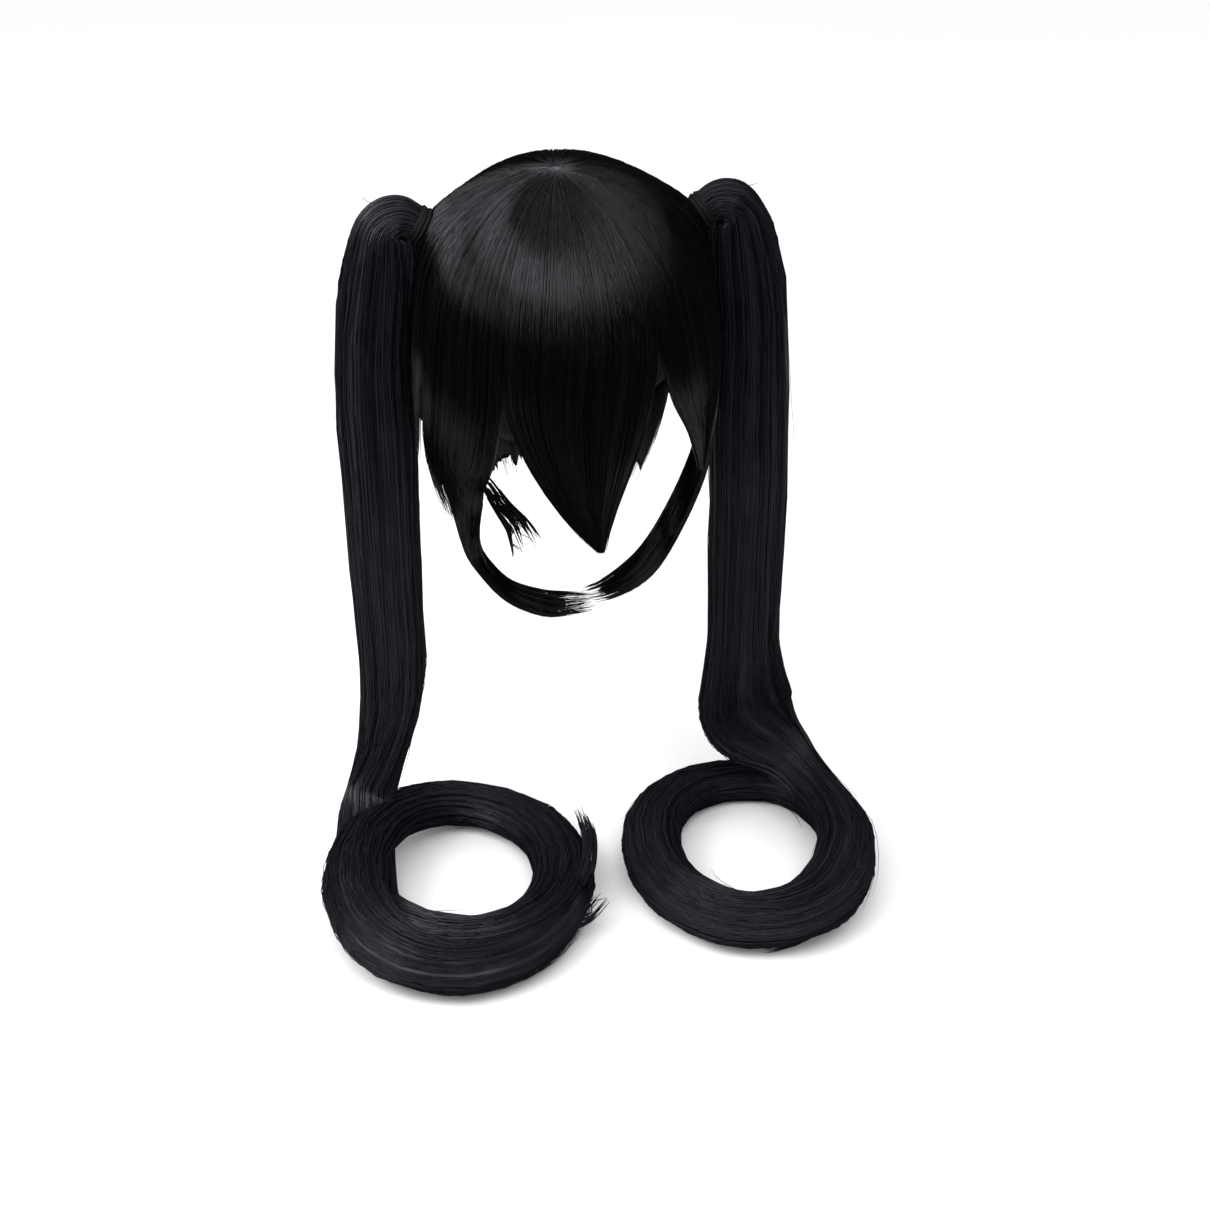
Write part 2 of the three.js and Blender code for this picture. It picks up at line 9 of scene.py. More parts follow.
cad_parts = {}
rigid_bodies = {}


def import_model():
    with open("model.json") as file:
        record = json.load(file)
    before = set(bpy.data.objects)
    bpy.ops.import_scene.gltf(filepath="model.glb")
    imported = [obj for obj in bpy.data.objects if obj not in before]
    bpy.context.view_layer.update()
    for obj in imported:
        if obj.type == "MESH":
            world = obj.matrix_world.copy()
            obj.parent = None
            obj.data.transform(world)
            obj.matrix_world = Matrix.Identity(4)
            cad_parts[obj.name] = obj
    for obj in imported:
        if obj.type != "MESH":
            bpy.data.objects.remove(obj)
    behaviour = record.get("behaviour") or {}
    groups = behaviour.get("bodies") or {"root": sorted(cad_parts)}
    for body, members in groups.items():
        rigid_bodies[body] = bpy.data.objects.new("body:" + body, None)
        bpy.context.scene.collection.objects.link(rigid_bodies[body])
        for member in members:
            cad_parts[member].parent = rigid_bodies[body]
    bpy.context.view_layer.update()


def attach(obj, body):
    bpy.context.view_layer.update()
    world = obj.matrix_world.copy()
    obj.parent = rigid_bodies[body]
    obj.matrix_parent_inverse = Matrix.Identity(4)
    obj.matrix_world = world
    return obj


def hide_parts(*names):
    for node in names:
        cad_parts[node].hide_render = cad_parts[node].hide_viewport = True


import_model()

# Net cap
# A stretch net cut to the hairline, over the ears and down to the nape. Rows of machine-sewn wefts
# cross it inside, and an elastic tape turned over its edge binds it.
MM = 0.001
HEAD = np.array([76.0, 96.0, 90.0])  # half width, half length, crown above the widest level
WIDEST_Z = -90.0
DOME_POWER = 2.2  # an ellipsoid has 2
CAP_TUCK = 150.0  # depth below the widest level at which the curve of the cap's wall would close
CAP_LEVELS = 56
CAP_AROUND = 96
CAP_TOP = 0.03  # share of the way down at which the rings start
NET_INSIDE = 0.3
NET_OUTSIDE = 1.5
NET_FINENESS = (230, 150, 1)  # round the cap and down it
NET_DARK = (0.006, 0.006, 0.0065)
NET_LIGHT = (0.03, 0.029, 0.031)
WEFT_ROWS = 13
WEFT_HEIGHT = 0.7
WEFT_POWER = 4  # makes a weft narrower than the gap to the next
TAPE_HEIGHT = 0.9
TAPE_FROM = 0.95  # share of the way down at which the tape begins
TAPE_RISE = 0.012
# Plan angles from the face, and the height of the cap's edge at each
CAP_EDGE_ANGLE = [0, 35, 65, 85, 105, 130, 155, 180]
CAP_EDGE_Z = [-47, -51, -82, -103, -112, -150, -176, -182]


def place(tree, kind, inputs=None, **settings):
    """A node in a tree: its settings, and its inputs as plain values or as other nodes' sockets."""
    made = tree.nodes.new(kind)
    for name, value in settings.items():
        setattr(made, name, value)
    for key, value in (inputs or {}).items():
        if isinstance(value, bpy.types.NodeSocket):
            tree.links.new(value, made.inputs[key])
        else:
            made.inputs[key].default_value = value
    return made


def sums(tree, operation, first, second=0.5, third=0.5):
    """The result of one piece of arithmetic in a tree."""
    return place(tree, "ShaderNodeMath", {0: first, 1: second, 2: third}, operation=operation).outputs[0]


def finish_material(name):
    """A new material with its tree and its empty Principled BSDF."""
    material = bpy.data.materials.new(name)
    material.use_nodes = True
    tree = material.node_tree
    shader = next(n for n in tree.nodes if n.type == "BSDF_PRINCIPLED")
    return material, tree, shader


def between(tree, share, low, high):
    """A colour between two, plain ones or other nodes' sockets, by a share from 0 to 1."""
    low, high = ((*end, 1) if isinstance(end, tuple) else end for end in (low, high))
    return place(tree, "ShaderNodeMix", {0: share, 6: low, 7: high}, data_type="RGBA").outputs[2]


def dress(tree, shader, colour, mask, rough, specular, relief=None):
    """A shader's colour, its roughness between two values by a mask, its gloss, and relief by the mask."""
    tree.links.new(colour, shader.inputs["Base Color"])
    roughness = sums(tree, "MULTIPLY_ADD", mask, rough[1] - rough[0], rough[0])
    tree.links.new(roughness, shader.inputs["Roughness"])
    shader.inputs["Specular IOR Level"].default_value = specular
    if relief:
        strength, depth = relief
        bump = place(tree, "ShaderNodeBump", {"Strength": strength, "Distance": depth, "Height": mask})
        tree.links.new(bump.outputs[0], shader.inputs["Normal"])


def loft_mesh(name, rings, material):
    """A closed skin over rings of points, with a UV map: u round the rings and v along them."""
    count, sides = rings.shape[:2]
    index = np.arange(count * sides).reshape(count, sides)
    after = np.roll(index, -1, axis=1)
    quads = np.stack([index[:-1], after[:-1], after[1:], index[1:]], -1).reshape(-1, 4)
    hubs = np.stack([rings[0].mean(0), rings[-1].mean(0)])
    points = np.concatenate([rings.reshape(-1, 3), hubs])
    first = [[count * sides, b, a] for a, b in zip(index[0], after[0])]
    last = [[count * sides + 1, a, b] for a, b in zip(index[-1], after[-1])]
    u = np.arange(sides + 1) / sides
    v = np.linspace(0, 1, count)
    square = [(0, 0), (0, 1), (1, 1), (1, 0)]
    corner = np.stack([
        np.stack(np.broadcast_arrays(u[None, c:c + sides], v[r:count - 1 + r, None]), -1)
        for r, c in square
    ], 2).reshape(-1, 2)
    ends = [((i + 0.5) / sides, end) for end in (0.0, 1.0) for i in range(sides) for _ in range(3)]
    return mesh_piece(name, points, quads.tolist() + first + last, np.concatenate([corner, ends]), material)


def mesh_piece(name, points, faces, corner_uv, material):
    """An object with a smooth mesh, points in millimetres, turned so that its faces look outward."""
    mesh = bpy.data.meshes.new(name)
    mesh.from_pydata((points * MM).tolist(), [], faces)
    layer = mesh.uv_layers.new(name="UVMap")
    layer.data.foreach_set("uv", np.asarray(corner_uv, np.float32).ravel())
    mesh.calc_loop_triangles()
    index = np.empty(3 * len(mesh.loop_triangles), np.int32)
    mesh.loop_triangles.foreach_get("vertices", index)
    a, b, c = points[index.reshape(-1, 3)].transpose(1, 0, 2)
    if np.sum(a * np.cross(b, c)) < 0:
        mesh.flip_normals()
    mesh.polygons.foreach_set("use_smooth", np.ones(len(faces), bool))
    mesh.materials.append(material)
    made = bpy.data.objects.new(name, mesh)
    bpy.context.scene.collection.objects.link(made)
    return made


def net_material():
    """Black knitted net: crossed threads with dark holes between them."""
    material, tree, shader = finish_material("cap_net")
    map_uv = place(tree, "ShaderNodeTexCoord").outputs["UV"]
    threads = []
    for turn in (1, -1):
        turned = place(tree, "ShaderNodeMapping", {
            "Vector": map_uv,
            "Rotation": (0, 0, turn * math.pi / 4),
            "Scale": NET_FINENESS,
        })
        wave = place(tree, "ShaderNodeTexWave", {
            "Vector": turned.outputs[0],
            "Scale": 0.5,
            "Distortion": 0.6,
        })
        threads.append(wave.outputs["Fac"])
    thread = sums(tree, "MAXIMUM", threads[0], threads[1])
    colour = between(tree, thread, NET_DARK, NET_LIGHT)
    dress(tree, shader, colour, thread, rough=(0.65, 0.85), specular=0.25, relief=(0.5, 0.0006))
    return material


def cap_rings(margin, ridge):
    """Rings of the cap's wall from the crown to its edge, a margin outside the head."""
    angle = np.arange(CAP_AROUND) / CAP_AROUND * 2 * math.pi
    turn = np.degrees(np.abs((angle + math.pi) % (2 * math.pi) - math.pi))
    edge = np.interp(turn, CAP_EDGE_ANGLE, CAP_EDGE_Z) - WIDEST_Z
    edge = (np.roll(edge, 1) + 2 * edge + np.roll(edge, -1)) / 4
    share = np.linspace(CAP_TOP, 1, CAP_LEVELS)[:, None]
    dome = HEAD + margin + ridge(share)[..., None] * np.ones(3)
    tuck = CAP_TUCK + margin
    tilt = np.arccos(edge / np.where(edge > 0, HEAD[2] + margin, tuck))[None, :] * share
    below = tilt > math.pi / 2
    rise = np.where(below, 0, np.cos(tilt))
    reach = np.where(below, np.sin(tilt), (1 - np.clip(rise, 0, 1) ** DOME_POWER) ** (1 / DOME_POWER))
    z = WIDEST_Z + np.where(below, tuck * np.cos(tilt), dome[..., 2] * rise)
    return np.stack([dome[..., 0] * reach * np.sin(angle), -dome[..., 1] * reach * np.cos(angle), z], -1)


def tape(share):
    """How far the edge tape stands out of the net."""
    return TAPE_HEIGHT / 2 * np.clip((share - TAPE_FROM) / TAPE_RISE, 0, 1)


def wefts_and_tape(share):
    """How far the sewn wefts and the edge tape stand into the cap, as a negative height."""
    row = np.clip(np.sin(share * WEFT_ROWS * 2 * math.pi), 0, 1)
    return -WEFT_HEIGHT * row ** WEFT_POWER - tape(share)


cap_outer = cap_rings(NET_OUTSIDE, tape)
cap_inner = cap_rings(NET_INSIDE, wefts_and_tape)
cap_net = loft_mesh("cap_net", np.concatenate([cap_outer, cap_inner[::-1]]), net_material())
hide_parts("cap")
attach(cap_net, "root")

# Combed hair
# Panels of straight synthetic hair, sewn to the cap in rows and combed down from the whorl on the
# crown: the pointed fringe, the locks at the temples, the sides and the back. Each is a dense bed of
# hair with loose strands combed over it.
HAIR = np.array([84.5, 107.0, 104.0])  # half sizes of the combed hair's outer form
HAIR_INSIDE = HEAD + 3.4  # half sizes of the panels' inner face, over the net
WHORL = np.array([-7.0, -16.0])
WHORL_GAP = 2.2  # radius of the bare spot that the hair leaves from
ROOT_ANGLE = 95.0  # plan angle from the face at which a tail is rooted
ROOT_Z = -26.0
ROOT_LIFT = 8.0  # how far the hair rises round a tail's root
ROOT_SPREAD = 18.0
PARTING = 0.34  # depth of the partings between locks
PARTING_POWER = 3
PARTING_FROM = 0.25  # share of the hair's length over which the partings open
PARTING_SEED = 40
LOCK_SIZES = (0.5, 1.5)
LOCK_DEPTHS = (0.35, 1)
LOCK_SWAY = 0.35  # share of a lock's width
LOCK_SWAYS = 1.2  # sways in a panel's length
FINE_PARTINGS = 9  # in each lock
FINE_DEPTH = 0.3
EDGE_TAPER = 0.75  # share of its thickness that a panel loses at its free edges
EDGE_POWER = 8
TUCK_DROP = 100.0  # depth below the widest level at which a panel has come in by its tuck
RAGGED_SEED = 9
RAGGED_ENDS = 90
RAGGED_POWER = 4
DOME_LEVELS = 20
HANG_LEVELS = 30
GRID_SMOOTHING = 5

# Rows of each panel: height, plan angles of its two edges from the face, share of the full thickness.
# Only strands reach the loose rows.
PANELS = {
    "fringe": {
        "locks": 7, "tuck": 0.0, "columns": 90, "strands": 950,
        "rows": [
            (-45, -34, 25, 1), (-57, -34, 25, 1), (-72, -34, 22.7, 0.95), (-89, -33.9, 20.3, 0.9),
            (-107, -29.7, 17.2, 0.8), (-125, -23.5, 12.5, 0.7), (-143, -15, 7.3, 0.58),
            (-159, -6.4, 3.8, 0.42), (-169, 0.2, 2.4, 0.28),
        ],
    },
    "temple_lock_right": {
        "locks": 5, "tuck": 0.0, "columns": 60, "strands": 600,
        "rows": [
            (-45, -74, -34, 1), (-66, -74, -34, 1), (-89, -74, -33.9, 1), (-103, -75, -35.3, 0.95),
            (-124, -77, -38, 0.9), (-134, -76.5, -40, 0.7), (-142, -74, -43, 0.4),
        ],
        "loose": [(-154, -67, -46, 0.4), (-166, -60, -51, 0.4)],
    },
    "temple_lock_left": {
        "locks": 5, "tuck": 0.0, "columns": 60, "strands": 600,
        "rows": [
            (-45, 25, 72, 1), (-57, 25, 72, 1), (-73, 27, 72, 0.95), (-95, 31.5, 71, 0.9),
            (-112, 39, 66, 0.8), (-127, 43, 57, 0.6), (-141, 47.4, 49.6, 0.35),
        ],
    },
    "side_hair_right": {
        "locks": 4, "tuck": 0.0, "ragged": 4, "columns": 50, "strands": 420,
        "rows": [
            (-45, -118, -74, 1), (-66, -118, -74, 1), (-89, -118, -74, 1), (-108, -118, -78, 0.9),
            (-124, -116, -80, 0.6),
        ],
        "loose": [(-138, -110, -81, 0.4), (-152, -102, -84, 0.4)],
    },
    "side_hair_left": {
        "locks": 4, "tuck": 0.0, "ragged": 4, "columns": 50, "strands": 420,
        "rows": [
            (-45, 72, 118, 1), (-66, 72, 118, 1), (-89, 72, 118, 1), (-108, 72, 118, 0.95),
            (-126, 70, 117, 0.9),
        ],
    },
    "back_hair": {
        "locks": 11, "tuck": 0.18, "ragged": 5, "columns": 110, "strands": 1000,
        "rows": [
            (-45, 118, 242, 1), (-66, 118, 242, 1), (-89, 118, 242, 1), (-112, 118, 242, 1),
            (-136, 119, 241, 1), (-158, 121, 239, 1), (-178, 124, 236, 0.8), (-192, 127, 233, 0.12),
        ],
        "loose": [(-204, 130, 230, 0.12)],
    },
}


def smooth_rows(rows, places):
    """Values of a table's rows at places along it, on a smooth curve through every row."""
    rows = np.asarray(rows, float)
    rows = np.concatenate([[2 * rows[0] - rows[1]], rows, [2 * rows[-1] - rows[-2]]])
    step = np.clip(np.floor(places).astype(int), 0, len(rows) - 4)
    t = (places - step)[:, None]
    p0, p1, p2, p3 = (rows[step + i] for i in range(4))
    return p1 + 0.5 * t * (p2 - p0 + t * (2 * p0 - 5 * p1 + 4 * p2 - p3 + t * (3 * (p1 - p2) + p3 - p0)))


def dome_height(dome, plan):
    """Height of a dome above places in plan."""
    reach = np.minimum(1, np.hypot(plan[..., 0] / dome[0], plan[..., 1] / dome[1]))
    return WIDEST_Z + dome[2] * (1 - reach ** DOME_POWER) ** (1 / DOME_POWER)


def wall_points(dome, angle, z, tuck):
    """Points of a dome at plan angles and heights. Below its widest level the hair hangs."""
    rise = np.clip((z - WIDEST_Z) / dome[..., 2], 0, 1)
    drop = np.maximum(0, WIDEST_Z - z) / TUCK_DROP
    reach = (1 - rise ** DOME_POWER) ** (1 / DOME_POWER) * (1 - tuck * drop * drop)
    turn = np.radians(angle)
    x = dome[..., 0] * reach * np.sin(turn)
    y = -dome[..., 1] * reach * np.cos(turn)
    return np.stack(np.broadcast_arrays(x, y, z), -1)


def unit(vectors):
    """Vectors of length 1."""
    return vectors / np.linalg.norm(vectors, axis=-1, keepdims=True)


def outward(points):
    """Outward directions of the combed hair at its points."""
    rise = np.maximum(0, points[..., 2] - WIDEST_Z)
    away = np.stack([points[..., 0] / HAIR[0] ** 2, points[..., 1] / HAIR[1] ** 2, rise / HAIR[2] ** 2], -1)
    return unit(away)


def root_foot(side):
    """Place on the combed hair that a tail grows from."""
    return wall_points(HAIR, np.array(side * ROOT_ANGLE), np.array(ROOT_Z), 0)


def panel_grid(panel, u, dome):
    """Grid of a panel's points: from the whorl down the dome, then down its rows to the ends."""
    rows = np.asarray(panel["rows"], float)
    hang = smooth_rows(rows, np.linspace(0, len(rows) - 1, HANG_LEVELS))
    edge = EDGE_TAPER * np.linspace(0, 1, HANG_LEVELS)[:, None] * np.abs(2 * u - 1) ** EDGE_POWER
    own = HAIR + (dome - HAIR) * (hang[:, 3, None] * (1 - edge))[..., None]
    angle = hang[:, 1, None] + (hang[:, 2] - hang[:, 1])[:, None] * u
    uneven = np.random.default_rng(RAGGED_SEED).uniform(-1, 1, RAGGED_ENDS)
    uneven = panel.get("ragged", 0) * np.interp(u, np.linspace(0, 1, RAGGED_ENDS), uneven)
    z = hang[:, 0, None] + uneven * np.linspace(0, 1, HANG_LEVELS)[:, None] ** RAGGED_POWER
    fall = wall_points(own, angle, z, panel["tuck"])
    first = fall[0, :, :2]
    hub = WHORL + unit(first.mean(0) - WHORL)
    run = np.linalg.norm(first - hub, axis=-1)
    share = np.sin(np.arange(DOME_LEVELS) / DOME_LEVELS * math.pi / 2)[:, None]
    reach = WHORL_GAP / run + (1 - WHORL_GAP / run) * share
    plan = hub + (first - hub) * reach[..., None]
    crown = np.concatenate([plan, dome_height(dome, plan)[..., None]], -1)
    grid = np.concatenate([crown, fall])
    for _ in range(GRID_SMOOTHING):
        grid[1:-1] = (grid[:-2] + 2 * grid[1:-1] + grid[2:]) / 4
    return grid


def lock_relief(u, v, locks, seed):
    """Depth below the surface, from 0 to about 1, of the partings between uneven locks."""
    chance = np.random.default_rng(seed)
    edges = np.concatenate([[0], np.cumsum(chance.uniform(*LOCK_SIZES, locks))])
    edges /= edges[-1]
    sway = LOCK_SWAY / locks * np.sin(2 * math.pi * (v * LOCK_SWAYS + chance.uniform()))
    spot = np.clip(u[None, :] + sway[:, None] * np.sin(math.pi * u)[None, :], 0, 1)
    lock = np.clip(np.searchsorted(edges, spot, side="right") - 1, 0, locks - 1)
    share = (spot - edges[lock]) / (edges[lock + 1] - edges[lock])
    weight = chance.uniform(*LOCK_DEPTHS, locks)[lock]
    places = locks * FINE_PARTINGS
    fine = np.interp(u, np.linspace(0, 1, places), chance.uniform(-FINE_DEPTH, FINE_DEPTH, places))
    return weight * np.abs(2 * share - 1) ** PARTING_POWER + fine[None, :]


def length_shares(grid):
    """Shares of a grid's mean length at its levels, from 0 to 1."""
    steps = np.linalg.norm(np.diff(grid, axis=0), axis=-1).mean(-1)
    along = np.concatenate([[0], np.cumsum(steps)])
    return along / along[-1]


def combed_sheet(panel, seed):
    """Outer face of a panel, lifted round the tails' roots and parted between its locks."""
    u = np.linspace(0, 1, panel["columns"] + 1)
    grid = panel_grid(panel, u, HAIR)
    v = length_shares(grid)
    opened = np.minimum(1, v / PARTING_FROM)[:, None]
    lift = -PARTING * lock_relief(u, v, panel["locks"], seed) * opened
    for side in (-1, 1):
        away = np.linalg.norm(grid - root_foot(side), axis=-1) / ROOT_SPREAD
        lift += ROOT_LIFT * np.exp(-away * away / 2)
    return u, v, grid + outward(grid) * lift[..., None]


def grid_faces(sheet, v):
    """Indices of a grid's points, its quads, and the UV of each point: u across the grid and v along it."""
    levels, columns = sheet.shape[:2]
    index = np.arange(levels * columns).reshape(levels, columns)
    quads = np.stack([index[:-1, :-1], index[1:, :-1], index[1:, 1:], index[:-1, 1:]], -1).reshape(-1, 4)
    across = np.linspace(0, 1, columns)
    uv = np.stack(np.broadcast_arrays(across[None, :], v[:, None]), -1).reshape(-1, 2)
    return index, quads, uv


def wall_mesh(name, outer, inner, v, material):
    """A closed wall between an outer and an inner grid of points, with u across it and v along it."""
    index, front, grid_uv = grid_faces(outer, v)
    count = index.size
    border = np.concatenate([index[0, :-1], index[:-1, -1], index[-1, :0:-1], index[:0:-1, 0]])
    ahead = np.roll(border, -1)
    rim = np.stack([border, ahead, ahead + count, border + count], -1)
    faces = np.concatenate([front, front[:, ::-1] + count, rim])
    uv = np.concatenate([grid_uv, grid_uv])[faces.ravel()]
    points = np.concatenate([outer.reshape(-1, 3), inner.reshape(-1, 3)])
    return mesh_piece(name, points, faces.tolist(), uv, material)


def streak_group():
    """Fine streaks along combed hair, as a mask that follows the UV map."""
    group = bpy.data.node_groups.new("hair_streaks", "ShaderNodeTree")
    for name, value in (("Across", 160.0), ("Along", 2.0)):
        socket = group.interface.new_socket(name, in_out="INPUT", socket_type="NodeSocketFloat")
        socket.default_value = value
    group.interface.new_socket("Streak", in_out="OUTPUT", socket_type="NodeSocketFloat")
    sizes = group.nodes.new("NodeGroupInput")
    ends = group.nodes.new("NodeGroupOutput")
    scale = place(group, "ShaderNodeCombineXYZ", {0: sizes.outputs["Across"], 1: sizes.outputs["Along"]})
    spot = place(group, "ShaderNodeVectorMath", {
        0: place(group, "ShaderNodeTexCoord").outputs["UV"],
        1: scale.outputs[0],
    }, operation="MULTIPLY")
    noise = place(group, "ShaderNodeTexNoise", {
        "Vector": spot.outputs[0],
        "Scale": 1.0,
        "Detail": 3.0,
        "Roughness": 0.7,
    })
    group.links.new(noise.outputs["Fac"], ends.inputs["Streak"])
    return group


HAIR_STREAKS = streak_group()
GLOSS_TINT = (0.9, 0.91, 1.0)
HAIR_GLOSS = 0.5
BED_ROUGH = 0.2  # how much rougher the palest streaks are
STRAND_ROUGH = 0.12
# Painted highlight: the grey that the hair's roots at the whorl are painted towards
ROOT_HIGHLIGHT_COLOUR = (0.06, 0.06, 0.065)
ROOT_HIGHLIGHT_SHARE = 0.035  # share of the hair's length over which it is painted paler at the whorl, a painted highlight


def bed_material(name, across, dark, light, smooth, root_highlight_share=0.0):
    """The dense bed of hair: streaks of colour, gloss and relief along the way it is combed, and a painted
    highlight at its roots.
    """
    material, tree, shader = finish_material(name)
    spot = place(tree, "ShaderNodeSeparateXYZ", {0: place(tree, "ShaderNodeTexCoord").outputs["UV"]})
    # Painted highlight: up to the given share of the length, the colour is mixed towards a paler grey
    root = place(tree, "ShaderNodeMapRange", {
        "Value": spot.outputs["Y"], "From Min": root_highlight_share, "From Max": 0.0,
    })
    streaks = place(tree, "ShaderNodeGroup", {"Across": across}, node_tree=HAIR_STREAKS)
    streak = streaks.outputs["Streak"]
    colour = between(tree, root.outputs[0], between(tree, streak, dark, light), ROOT_HIGHLIGHT_COLOUR)
    dress(tree, shader, colour, streak, (smooth, smooth + BED_ROUGH), HAIR_GLOSS, relief=(0.5, 0.0004))
    shader.inputs["Specular Tint"].default_value = (*GLOSS_TINT, 1)
    return material


def strand_material(name, dark, light, smooth):
    """Loose strands, each with its own shade and gloss, and a painted highlight near their roots."""
    material, tree, shader = finish_material(name)
    shade = place(tree, "ShaderNodeAttribute", attribute_name="shade").outputs["Fac"]
    # Painted highlight: near the root, each strand's colour is mixed towards a paler grey
    root = place(tree, "ShaderNodeAttribute", attribute_name="root").outputs["Fac"]
    colour = between(tree, root, between(tree, shade, dark, light), ROOT_HIGHLIGHT_COLOUR)
    dress(tree, shader, colour, shade, (smooth, smooth + STRAND_ROUGH), HAIR_GLOSS)
    shader.inputs["Specular Tint"].default_value = (*GLOSS_TINT, 1)
    return material


CROWN_DARK = (0.0006, 0.00055, 0.00055)
CROWN_LIGHT = (0.0026, 0.0024, 0.0023)
# The crown's hair, with its roots at the whorl painted paler as a painted highlight
crown_bed = bed_material(
    "crown_hair_bed", across=220.0, dark=CROWN_DARK, light=CROWN_LIGHT, smooth=0.22, root_highlight_share=ROOT_HIGHLIGHT_SHARE)
crown_strand = strand_material("crown_hair_strands", dark=CROWN_DARK, light=CROWN_LIGHT, smooth=0.15)

SEED_STEP = 17.0  # between a strand's random values
STRAND_PACE = (0.95, 1.05)  # power that staggers the strands' points
STRAND_SHADE = (0.1, 0.9)
STRAND_RADIUS = (0.35, 0.6)  # shares of the width
LOCK_BENDS = 2.2  # how often a lock and a strand bend along their length
OWN_BENDS = 3.0
OWN_STEP = 3.71  # how far the bends of one strand are from those of the next
GATHER_POWER = 3.0
FLARE_POWER = 5.0
UV_EDGE = 0.003  # how far strands keep from the side edges of a face that isn't closed round
UV_END = 0.9995

# Inputs of the tree that combs strands over a face, with their default values
STRAND_INPUTS = {
    "Count": 400, "Points": 24, "Width": 0.0005, "Lift Low": -0.0004, "Lift High": 0.0008,
    "Start From": 0.0, "Start To": 0.1, "End From": 0.9, "End To": 1.0, "Sway": 0.015, "Own Sway": 0.006,
    "Locks": 8.0, "Gather": 0.3, "Flare": 0.001, "Lowest": -1.0, "Lock Shade": 0.3, "Shade Waves": 2.0,
    "Root Highlight Share": 0.0, "Closed Round": False, "Seed": 1,
}
SOCKETS = {int: "NodeSocketInt", float: "NodeSocketFloat", bool: "NodeSocketBool"}


